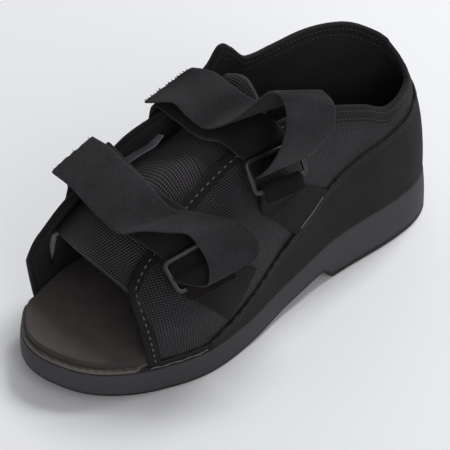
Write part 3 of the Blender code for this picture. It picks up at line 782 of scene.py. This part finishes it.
def byEdge(line, distance, lift):  # points at a distance in from the free edge, arrays of the line by the offsets
    ahead = unit(np.gradient(line, axis=0))
    inward = np.stack([ahead[:, 1], -ahead[:, 0]], -1)
    spread = unit(softened(inward, 41))
    run, step = line[:, 0] / last["length"], 1e-3
    rise = np.minimum(line[:, 1] / wallHeight(run), 0.985)
    along = np.linalg.norm(wall(run + step, rise) - wall(run - step, rise), axis=1) / (2 * step * last["length"])
    up = np.linalg.norm(wall(run, rise + step) - wall(run, rise - step), axis=1) / (2 * step * wallHeight(run))
    size = np.linalg.norm(spread * np.stack([along, up], -1), axis=1)
    spread = spread / (size * (spread * inward).sum(1))[:, None]
    distance = np.broadcast_to(distance, (len(line), np.shape(distance)[-1]))
    flat = line[:, None] + spread[:, None] * distance[..., None]
    run = flat[..., 0] / last["length"]
    rise = flat[..., 1] / wallHeight(run)
    return onWall(run, rise, np.broadcast_to(lift, rise.shape))


def makeBinding():
    line = edgeLine()
    band, step, half = upper["bindingWidth"], upper["bindingStep"], 0.5 * upper["wall"]
    turn = np.linspace(0, np.pi, 9)[1:-1]
    distance = np.concatenate([[band + 0.0002, band, 0.75 * band, 0.5 * band, 0.25 * band, 0.0005],
                               -0.8 * (half + step) * np.sin(turn),
                               [0.0005, 0.25 * band, 0.5 * band, 0.75 * band, 0.85 * band, 0.86 * band]])
    puff = 0.00025
    lift = np.concatenate([[-0.0002, step - 0.0001, step + puff, step + 0.4 * puff, step + puff, step],
                           -half + (half + step) * np.cos(turn),
                           -2 * half - np.array([step, step + puff, step + puff, step, step - 0.0002, -0.0002])])
    collar = smoothStep(-runOf(0.46), -runOf(0.43), line[:, 0] / last["length"])
    collar = collar * (1 - smoothStep(runOf(0.38), runOf(0.42), line[:, 0] / last["length"]))
    broad = 0.0056 + (band - 0.0056) * collar
    distance = np.where(distance > 0.0005, distance * (broad / band)[:, None], distance)
    grid = byEdge(line, distance, lift)
    far = travelled(line)
    across = travelled(np.stack([distance[600], lift], -1))
    ring = np.concatenate([grid, grid[:, :1]], 1)
    sheets = [sheet(ring, patch(far[:, None], np.append(across, across[-1])[None]))]
    for end in (0, -1):
        sheets.append(sheet(np.stack([grid[end, :10], grid[end, 9:][::-1]]), np.zeros(2)))
    makePiece("edge_binding", sheets, [looks["binding"]])


def seamAlong(line, distance, lift, low, high):  # a row of points beside the free edge, with the normals there
    part = line[(line[:, 0] > low * last["length"]) & (line[:, 0] < high * last["length"])]
    return byEdge(part, [distance], lift)[:, 0], byEdge(part, [distance], lift + 0.001)[:, 0] - byEdge(
        part, [distance], lift
    )[:, 0]


def makeStitches():
    line = edgeLine()
    step = upper["bindingStep"] + 0.0002
    ends = runOf(topline["station"][[0, -1]])
    front = runOf(0.40)
    dark, pale = [], []
    for distance in (0.0020, 0.0068):
        path, normal = seamAlong(line, distance, step, -runOf(0.44), front)
        dark += stitchRow(path, normal, 0.0022, 0.0031, 0.00028)
        path, normal = seamAlong(line, distance, -upper["wall"] - step, -runOf(0.44), front)
        dark += stitchRow(path, -normal, 0.0022, 0.0031, 0.00028)
    for low, high in ((front, ends[1] + 1), (ends[0] - 1, -runOf(0.44))):
        path, normal = seamAlong(line, 0.0026, step, low, high)
        pale += stitchRow(path, normal, 0.0026, 0.0046, 0.00032)
        path, normal = seamAlong(line, 0.0028, -upper["wall"] - step, low, high)
        dark += stitchRow(path, -normal, 0.0024, 0.0046, 0.0003)
    makePiece("collar_stitches", dark, [looks["stitch"]])
    makePiece("throat_stitches", pale, [looks["paleStitch"]])


def makeCounter():
    end = runOf(counterSeam["station"][-1])
    run, share = np.meshgrid(np.linspace(-end, end, 321), np.linspace(0, 1, 25), indexing="ij")
    rise = share * counterHeight(run) / wallHeight(run)
    u, v = run * last["length"], rise * wallHeight(run)
    dent = 0.00025 * wander(u, v, 0.04, 8) * smoothStep(0, 0.3, share) * smoothStep(0, 0.3, 1 - share)
    hem = 0.0002 * smoothStep(0.0046, 0.0036, (1 - share) * counterHeight(run))
    outer = onWall(run, rise, last["gap"] + counter["thickness"] + dent + hem)
    inner = onWall(run, rise, 0 * rise + 0.5 * last["gap"])
    makePiece("heel_cover", shell(outer, inner, patch(u, v), patch(u, v), (0, 0, 0)), [looks["twill"]],
              ["heel_counter"])
    run, share = np.meshgrid(np.linspace(runOf(0.60), runOf(0.812), 121), np.linspace(0, 1, 9), indexing="ij")
    rise = share * 0.0052 / wallHeight(run)
    band = onWall(run, rise, 0.0007 + 0.0001 * np.sin(3 * np.pi * share))
    makePiece("foot_band", shell(band, onWall(run, rise, 0 * rise + 0.0001), patch(run * last["length"], share * 0.0052),
                                 patch(run * last["length"], share * 0.0052), (0, 0, 0)), [looks["twill"]])
    stitches = []
    for down in (0.0012, 0.0034):
        runs = np.linspace(-end, end, 900)
        rises = (counterHeight(runs) - down) / wallHeight(runs)
        lift = last["gap"] + counter["thickness"] + 0.0002
        path = onWall(runs, rises, 0 * runs + lift)
        stitches += stitchRow(path, wallNormal(runs, rises), 0.0018, 0.0024, 0.00026, 0, 0.35)
    makePiece("heel_cover_stitches", stitches, [looks["stitch"]])


# Straps, rings and tabs
def widthDirection(turn, tilt):
    turn, tilt = math.radians(turn), math.radians(tilt)
    return np.array([math.sin(turn) * math.cos(tilt), math.cos(turn) * math.cos(tilt), math.sin(tilt)])


ringPlaces = {
    "ring_front": {"station": 0.684, "across": 0.838, "height": 0.589, "turn": 14, "tilt": 20, "slope": 60},
    "ring_rear": {"station": 0.4695, "across": 0.606, "height": 0.824, "turn": -3, "tilt": -5, "slope": 57},
}


def ringFrame(ring):
    middle, along = foldPlace("free", *(ring[name] for name in ("station", "across", "height", "turn", "tilt")))
    slope = math.radians(ring["slope"])
    down = np.array([math.cos(slope), 0, -math.sin(slope)])
    down = unit(down - along * (down @ along))
    return middle, along, down, np.cross(along, -down)


def foldPlace(kind, *values):
    # free: station, across and height shares, turn, tilt; ring: share of the span, lift; quarter: station, rise, lift
    if kind == "free":
        station, across, height, turn, tilt = values
        level = soleTop(station) + last["instepHeight"] * height
        place = [middleOf(station) + last["ballHalfWidth"] * across, last["heelRest"] - station * last["length"], level]
        return np.array(place), widthDirection(turn, tilt)
    if kind in ringPlaces:
        share, lift = values
        middle, along, down, outward = ringFrame(ringPlaces[kind])
        return middle + down * share * rings["span"] + outward * lift, along
    station, rise, lift = values
    side = {"outer": 1, "inner": -1}[kind]
    run, step = runOf(side * station), 1e-3
    along = wall(run - side * step, rise) - wall(run + side * step, rise)
    return onWall(run, np.float64(rise), lift), unit(along)


laid = 0.5 * straps["thickness"] + last["gap"]
underBar = -(0.5 * rings["bar"] + 0.5 * straps["thickness"] + 3 * last["gap"])
strapFront = (
    ("inner", 0.741, 0.40, laid + 0.0004),
    ("inner", 0.741, 0.62, laid + 0.0004),
    ("inner", 0.742, 0.83, laid + 0.0008),
    ("inner", 0.744, 0.95, laid + 0.0022),
    ("free", 0.747, -0.640, 0.804, -9, 19),
    ("free", 0.743, -0.300, 0.772, -8, 20),
    ("free", 0.741, 0.050, 0.755, 6, 23),
    ("free", 0.724, 0.300, 0.737, 8, 20),
    ("free", 0.704, 0.520, 0.703, 10, 18),
    ("ring_front", -0.440, underBar),
    ("ring_front", -0.050, 0.0002),
    ("ring_front", 0.080, 0.0045),
    ("free", 0.655, 1.060, 0.565, 14, 18),
    ("free", 0.640, 1.085, 0.591, 7, 14),
    ("free", 0.629, 1.000, 0.649, 2, 3),
    ("free", 0.638, 0.898, 0.733, 1, -6),
    ("free", 0.650, 0.790, 0.770, 4, -11),
    ("free", 0.675, 0.625, 0.763, 0, -9),
    ("free", 0.709, 0.472, 0.768, 3, -3),
    ("free", 0.742, 0.320, 0.756, 13, 13),
    ("free", 0.750, 0.056, 0.788, 9, 24),
    ("free", 0.752, -0.321, 0.796, -9, 19),
    ("free", 0.757, -0.558, 0.820, -11, 16),
    ("free", 0.765, -0.823, 0.818, -12, 11),
)

strapRear = (
    ("inner", 0.545, 0.40, laid + 0.0004),
    ("inner", 0.545, 0.62, laid + 0.0004),
    ("inner", 0.545, 0.83, laid + 0.0008),
    ("inner", 0.543, 0.95, laid + 0.0016),
    ("free", 0.541, -0.640, 1.050, 0, 22),
    ("free", 0.530, -0.330, 1.035, -2, 16),
    ("free", 0.512, 0.000, 0.988, 0, 13),
    ("free", 0.496, 0.250, 1.005, 0, 6),
    ("free", 0.482, 0.440, 0.948, -2, 0),
    ("ring_rear", -0.440, underBar),
    ("ring_rear", -0.050, 0.0002),
    ("ring_rear", 0.000, 0.0045),
    ("free", 0.455, 0.760, 0.905, -6, -14),
    ("free", 0.439, 0.820, 0.985, -5, -21),
    ("free", 0.419, 0.825, 1.056, 2, -22),
    ("free", 0.409, 0.793, 1.133, 9, -24),
    ("free", 0.408, 0.740, 1.196, 13, -22),
    ("free", 0.416, 0.666, 1.241, 9, -21),
    ("free", 0.428, 0.613, 1.252, 10, -16),
    ("free", 0.455, 0.443, 1.163, 5, -10),
    ("free", 0.478, 0.244, 1.070, 1, -5),
    ("free", 0.498, -0.014, 1.020, 0, 11),
    ("free", 0.518, -0.197, 1.075, -1, 9),
    ("free", 0.525, -0.434, 1.096, -7, 6),
    ("free", 0.556, -0.676, 1.080, 9, 27),
)


def ribbon(path, ways, width, thickness, across=17):
    # outer and inner face of a strap; its edges curl down a little, like woven tape that has been worn
    ways = unit(ways)
    share = np.linspace(-1, 1, across)
    front, rear = (relaxed(path + side * 0.5 * width * ways, path) for side in (-1, 1))
    spread = 0.5 * (front + rear)[:, None] + 0.5 * (rear - front)[:, None] * share[None, :, None]
    normal = unit(np.cross(np.gradient(spread, axis=0), (rear - front)[:, None]))
    far = travelled(path)[:, None] + 0 * share[None]
    half = 0.5 * thickness * (1 - 0.25 * np.abs(share) ** 6)[None, :, None] * normal
    return spread, half, patch(far, 0.5 * width * share[None])


def relaxed(edge, path):  # edge of a strap eased until no step of it runs back against the strap's middle
    ahead = unit(np.gradient(path, axis=0))
    least = 0.2 * travelled(path)[-1] / len(path)
    for again in range(400):
        slow = (np.gradient(edge, axis=0) * ahead).sum(1) < least
        if not slow.any():
            break
        near = np.convolve(slow, np.ones(9), "same") > 0
        eased = edge.copy()
        eased[1:-1] = 0.25 * edge[:-2] + 0.5 * edge[1:-1] + 0.25 * edge[2:]
        edge = np.where(near[:, None], eased, edge)
    return edge


def makeStrap(name, folds, node, seed):
    places, ways = zip(*(foldPlace(*fold) for fold in folds))
    path = spline(np.column_stack([places, np.array(ways) * 0.01]), 361)
    spread, half, uv = ribbon(path[:, :3], path[:, 3:], straps["width"], straps["thickness"])
    u, v = uv[..., 0], uv[..., 1]
    ripple = 0.00022 * wander(u, v, 0.03, seed)[..., None] * unit(half)
    outer, inner = spread + half + ripple, spread - half + ripple
    fray = 0.0004 * np.sin(9e3 * v[-1] + 1.3 * np.sin(4e3 * v[-1]))
    ahead = unit(path[-1, :3] - path[-4, :3])
    outer[-1] += ahead * fray[:, None]
    inner[-1] += ahead * fray[:, None]
    paints = [looks["strap"], looks["strapBack"]]
    piece = makePiece(name, shell(outer, inner, uv, uv, (1, 0, 0)), paints, [node])
    return outer, inner, unit(half)


def makeFray(name, edge, ahead, down, count, seed):  # loose yarns at a cut end
    rng = np.random.default_rng(seed)
    sheets = []
    for k in range(count):
        root = edge[int(rng.integers(1, len(edge) - 1))]
        t = np.linspace(0, 1, 6)[:, None]
        reach = rng.uniform(0.0004, 0.0017)
        side = rng.normal(0, 0.35, 3)
        path = root + (ahead + 0.4 * side) * reach * t + down * reach * 0.5 * t**2
        sheets += tube(path, 0.00011, 5)
    makePiece(name, sheets, [looks["strapBack"]])


def makeSewnEnd(name, outer, normal):  # box of stitches where a strap is sewn to the inner quarter
    far = np.linalg.norm(np.diff(outer[:, 8], axis=0), axis=1).cumsum()
    rows = np.searchsorted(far, [0.003, 0.017])
    corners = ((rows[0], 2), (rows[1], 2), (rows[1], 14), (rows[0], 14), (rows[0], 2))
    sheets = []
    for (row, col), (nextRow, nextCol) in zip(corners[:-1], corners[1:]):
        steps = np.linspace(0, 1, 20)
        i = np.round(row + (nextRow - row) * steps).astype(int)
        j = col + (nextCol - col) * steps
        low = np.floor(j).astype(int).clip(0, 15)
        path = outer[i, low] * (1 - (j - low))[:, None] + outer[i, low + 1] * (j - low)[:, None]
        keep = np.concatenate([[True], np.linalg.norm(np.diff(path, axis=0), axis=1) > 1e-6])
        sheets += stitchRow(path[keep], normal[i[keep], low[keep]], 0.0022, 0.0031, 0.00025)
    makePiece(name, sheets, [looks["stitch"]])


def makeRing(name, ring, node):
    # flat bar with rounded edges carried round a rectangle with rounded corners
    middle, along, down, outward = ringFrame(ring)
    halfLong = 0.5 * (straps["width"] + rings["bar"]) + 2 * last["gap"]
    halfShort = 0.5 * (rings["span"] - rings["bar"])
    corner = rings["bar"]
    angle = np.radians(np.linspace(0, 90, 9))
    signs = np.array([(1, 1), (-1, 1), (-1, -1), (1, -1)])
    turns = angle[None] + np.radians(90) * np.arange(4)[:, None]
    flat = np.stack(
        [
            signs[:, :1] * (halfLong - corner) + corner * np.cos(turns),
            signs[:, 1:] * (halfShort - corner) + corner * np.sin(turns),
        ],
        -1,
    ).reshape(-1, 2)
    straight = [np.linspace(flat[k], flat[(k + 1) % 36], 8)[:-1] if k % 9 == 8 else flat[k : k + 1] for k in range(36)]
    flat = np.concatenate(straight)
    flat = np.concatenate([flat, flat[:1]])
    ahead = unit(np.concatenate([flat[1:], flat[1:2]]) - np.concatenate([flat[-2:-1], flat[:-1]]))
    side = np.stack([ahead[:, 1], -ahead[:, 0]], -1)
    turn = np.linspace(0, 2 * np.pi, 17)
    broad = 0.5 * rings["bar"] * np.sign(np.cos(turn)) * np.abs(np.cos(turn)) ** 0.6
    deep = 0.45 * rings["bar"] * np.sign(np.sin(turn)) * np.abs(np.sin(turn)) ** 0.6
    spot = flat[:, None] + side[:, None] * broad[None, :, None]
    grid = middle + spot[..., :1] * along + spot[..., 1:] * down + deep[None, :, None] * outward
    uv = patch(travelled(flat)[:, None], turn[None] * 0.001)
    makePiece(name, [sheet(grid, uv)], [looks["ring"]], [node])


# Corners of each tab's sewn part on the outer wall as station and rise: front and rear at its top, then at its end
tabPlaces = {
    "front_tab": ("ring_front", "tab_front", ((0.720, 0.66), (0.620, 0.60)), ((0.629, 0.165), (0.545, 0.36))),
    "rear_tab": ("ring_rear", "tab_rear", ((0.505, 0.66), (0.400, 0.60)), ((0.414, 0.262), (0.330, 0.44))),
}


def makeTab(name, ringNode, node, top, end):
    # cloth folded round the lower bar of a ring and sewn down on the quarter, with a seam along its edges
    middle, along, down, outward = ringFrame(ringPlaces[ringNode])
    bar = middle + down * 0.5 * (rings["span"] - rings["bar"])
    turn = 0.5 * rings["bar"] + last["gap"] + 0.5 * tabs["thickness"]
    fold = [turn * (outward + 3.2 * down), turn * (outward + 1.6 * down)]
    fold += [turn * (math.sin(angle) * outward + math.cos(angle) * down) for angle in np.radians((90, 135, 180, 225, 270))]
    width, share = straps["width"] - 2 * rings["bar"], np.linspace(-1, 1, 17)
    t = np.linspace(0, 1, 6)
    lift = 4 * last["gap"] + 0.5 * tabs["thickness"] - 0.0009 * t
    spread = []
    for side in 0.5 + 0.5 * share:
        first, final = (np.array(pair[0]) * (1 - side) + np.array(pair[1]) * side for pair in (top, end))
        place = first + (final - first) * t[:, None]
        loop = bar + np.array(fold) + along * width * (side - 0.5)
        spread.append(spline(np.concatenate([loop, onWall(runOf(place[:, 0]), place[:, 1], lift)]), 161))
    spread = np.stack(spread, 1)
    normal = unit(np.cross(np.gradient(spread, axis=0), np.gradient(spread, axis=1)))
    far = travelled(spread[:, 8])
    uv = patch(far[:, None], 0.5 * width * share[None])
    half = (0.5 * tabs["thickness"] + 0.00012 * wander(uv[..., 0], uv[..., 1], 0.02, 9))[..., None] * normal
    outer, inner = spread + half, spread - half
    makePiece(name, shell(outer, inner, uv, uv, (0, 0, 0)), [looks["velour"]], [node])
    rows = np.searchsorted(far, [0.024, far[-1] - 0.0018])
    seams = []
    for column in (1, 15):
        side = slice(rows[0], rows[1])
        seams += stitchRow(inner[side, column], -normal[side, column], 0.0016, 0.0023, 0.00022)
    seams += stitchRow(inner[rows[1], 1:16], -normal[rows[1], 1:16], 0.0016, 0.0023, 0.00022)
    makePiece(name + "_stitches", seams, [looks["stitch"]])


def makeTabs():
    for name, facts in tabPlaces.items():
        makeTab(name, *facts)


# Tongue
def tongueFaces(rows, across):
    share = np.linspace(0, 1, rows)
    place = np.linspace(0, 1, len(tongueRows["ridge"]))
    row = {name: through(place, column, share) for name, column in tongueRows.items()}
    depth = upper["wall"] + 2 * last["gap"] + 0.5 * tongue["thickness"]
    middle = []
    for k in range(rows):
        outerRun, innerRun = runOf(row["outer"][k]), runOf(-row["inner"][k])
        rises = np.linspace(row["tuck"][k], 1, 4)
        points = list(onWall(outerRun + 0 * rises, rises, -depth * np.array([1.1, 1.1, 1.2, 1.5])))
        station = 0.5 * (row["outer"][k] + row["inner"][k]) + 0.022 * (1 - smoothStep(0, 0.2, share[k]))
        points.append(foldPlace("free", station, row["shift"][k], row["ridge"][k], 0, 0)[0])
        rises = np.linspace(row["leave"][k], row["low"][k], 6)
        points += list(onWall(innerRun + 0 * rises, rises, -depth * np.array([1.8, 1.2, 1.1, 1.1, 1.1, 1.1])))
        middle.append(spline(points, across))
    middle = np.array(middle)
    normal = unit(np.cross(np.gradient(middle, axis=0), np.gradient(middle, axis=1)))
    return middle, normal


def makeTongue():
    middle, normal = tongueFaces(121, 121)
    u = np.linspace(0, 1, 121)[:, None] * travelled(middle[:, 60])[-1] + 0 * middle[..., 0]
    v = np.array([travelled(row) for row in middle])
    fade = np.sin(np.pi * np.linspace(0, 1, 121)) ** 0.5
    dent = 0.0004 * wander(u, v, 0.035, 12) * fade[None] * fade[:, None]
    half = (0.5 * tongue["thickness"] - 0.0001 + 0 * dent)[..., None] * normal
    outer, inner = middle + half + dent[..., None] * normal, middle - half
    makePiece("tongue_cloth", shell(outer, inner, patch(u, v), patch(u, v), (0, 1, 1)),
              [looks["tongueMesh"], looks["lining"]], ["tongue"])
    rim = 0.5 * (outer[0] + inner[0]) + 0.0005 * unit(half[0])
    front = tube(rim[4:88:2], 0.0007, 8)
    rim = rim + 0.0006 * unit(outer[0] - outer[1])
    flank = tube(rim[86:116:2], 0.0019 * np.sin(np.linspace(0.5, 2.9, 15)), 8, 1)
    back = 0.5 * (outer[-1] + inner[-1]) + 0.0005 * unit(half[-1])
    makePiece("tongue_hem", front + flank + tube(back[4:-4:2], 0.0008, 8), [looks["hem"], looks["foamEdge"]])
    return outer, normal


print("shapes ready")
makeOutsole()
makeFootbed()
makeUpper()
makeBinding()
makeStitches()
makeCounter()
print("upper made")
frontOuter, frontInner, frontNormal = makeStrap("front_strap", strapFront, "strap_front", 5)
rearOuter, rearInner, rearNormal = makeStrap("rear_strap", strapRear, "strap_rear", 6)
makeSewnEnd("front_strap_stitches", frontOuter, frontNormal)
makeSewnEnd("rear_strap_stitches", rearOuter, rearNormal)
makeFray("rear_strap_fray", 0.5 * (rearOuter[-1] + rearInner[-1]), unit(rearOuter[-1, 8] - rearOuter[-4, 8]),
         -rearNormal[-1, 8], 150, 2)
makeFray("front_strap_fray", 0.5 * (frontOuter[-1] + frontInner[-1]), unit(frontOuter[-1, 8] - frontOuter[-4, 8]),
         -frontNormal[-1, 8], 12, 4)
for ringNode in ("ring_front", "ring_rear"):
    makeRing(ringNode + "_bar", ringPlaces[ringNode], ringNode)
makeTabs()
tongueOuter, tongueNormal = makeTongue()
print("straps and tongue made")


# Loose thread at the foot of the rear tab, and the pale line of glue where the mesh meets the sole
def makeTrim():
    run = runOf(np.linspace(0.412, 0.345, 30))
    wiggle = 0.004 * np.sin(np.linspace(0, 9, 30))
    rise = (counterHeight(run) + 0.0012) / wallHeight(run)
    path = onWall(run, rise + wiggle * 0.3, 0 * run + 0.0020)
    makePiece("loose_thread", tube(path, 0.00028, 6), [looks["paleStitch"]])
    run = runOf(np.linspace(0.816, 0.690, 60))
    rise = (0.0010 + 0.0003 * np.sin(np.linspace(0, 21, 60))) / wallHeight(run)
    thick = 0.00022 * (0.6 + 0.8 * np.abs(np.sin(np.linspace(0, 17, 60))))
    path = onWall(run, rise, 0 * run + 0.0011)
    makePiece("glue_line", tube(path, thick, 6), [looks["glue"]])


def makeTape():  # narrow tape that stands off the tongue beside the inner quarter, with its end turned up; its light colour is a painted reflection
    rows, columns = np.linspace(56, 76, 41), np.linspace(0, 1, 7)
    i = np.round(rows).astype(int)[:, None]
    line = tongueOuter[i, 79] + (tongueOuter[i, 81] - tongueOuter[i, 77]) * 1.7 * (columns[None, :, None] - 0.5)
    line = np.stack([softened(line[:, k], 9, 3) for k in range(7)], 1)
    lift = 0.0012 + 0.0018 * columns[None] + 0.0035 * smoothStep(70, 76, rows)[:, None]
    face = line + lift[..., None] * tongueNormal[66, 79]
    normal = unit(np.cross(np.gradient(face, axis=0), np.gradient(face, axis=1)))
    uv = patch(rows[:, None] * 0.0008, columns[None] * 0.003)
    sheets = shell(face + 0.0003 * normal, face - 0.0003 * normal, uv, uv, (0, 0, 0))
    makePiece("tongue_tape", sheets, [looks["tape"]])


makeTrim()
makeTape()


# Studio
studio = {
    "floor": rgb(234, 235, 238),
    "eye": (0.81764, -0.64199, 0.93217),
    "right": (0.568503, 0.822441, -0.019873),
    "up": (-0.548397, 0.396858, 0.736046),
    "lens": 176.56,
    "shift": (-0.01433, 0.04525),
    "fill": 0.31,
}


def makeStudio():
    mesh = bpy.data.meshes.new("floor")
    mesh.from_pydata([(-4, -4, 0), (4, -4, 0), (4, 4, 0), (-4, 4, 0)], [], [(0, 1, 2, 3)])
    floor = bpy.data.objects.new("floor", mesh)
    paint = bpy.data.materials.new("floor_look")
    paint.use_nodes = True
    shader = paint.node_tree.nodes["Principled BSDF"]
    shader.inputs["Base Color"].default_value = studio["floor"]
    shader.inputs["Roughness"].default_value = 0.8
    shader.inputs["Specular IOR Level"].default_value = 0.1
    mesh.materials.append(paint)
    bpy.context.scene.collection.objects.link(floor)
    world = bpy.data.worlds.new("studio")
    world.use_nodes = True
    world.node_tree.nodes["Background"].inputs["Color"].default_value = (1.0, 1.0, 1.0, 1)
    world.node_tree.nodes["Background"].inputs["Strength"].default_value = studio["fill"]
    bpy.context.scene.world = world
    for name, place, size, power in (
        ("key_box", (-0.18, 0.72, 1.55), 0.6, 19.0),
        ("side_box", (1.7, -0.3, 1.1), 1.3, 11.0),
        ("back_box", (-1.3, 0.7, 1.2), 1.0, 3.0),
    ):
        light = bpy.data.lights.new(name, "AREA")
        light.shape = "SQUARE"
        light.size = size
        light.energy = power
        lamp = bpy.data.objects.new(name, light)
        away = np.array(place) - np.array([0, -0.1, 0.05])
        lamp.location = place
        lamp.rotation_euler = Matrix(
            [list(axis) for axis in lampAxes(away)]
        ).transposed().to_euler()
        bpy.context.scene.collection.objects.link(lamp)
    bpy.context.scene.view_settings.view_transform = "Standard"


def lampAxes(away):  # axes of a lamp that shines against the direction away
    away = unit(away)
    side = unit(np.cross([0.0, 0.0, 1.0], away))
    return side, np.cross(away, side), away


def makeCamera():
    right, up = np.array(studio["right"]), np.array(studio["up"])
    back = np.cross(right, up)
    camera = bpy.data.cameras.new("camera")
    camera.lens = studio["lens"]
    camera.sensor_width = 36.0
    camera.sensor_fit = "HORIZONTAL"
    camera.shift_x, camera.shift_y = studio["shift"]
    camera.clip_end = 30.0
    view = bpy.data.objects.new("camera", camera)
    turned = Matrix([right, up, back]).transposed().to_4x4()
    view.matrix_world = Matrix.Translation(studio["eye"]) @ turned
    bpy.context.scene.collection.objects.link(view)
    bpy.context.scene.camera = view


makeStudio()
makeCamera()
print("studio ready")
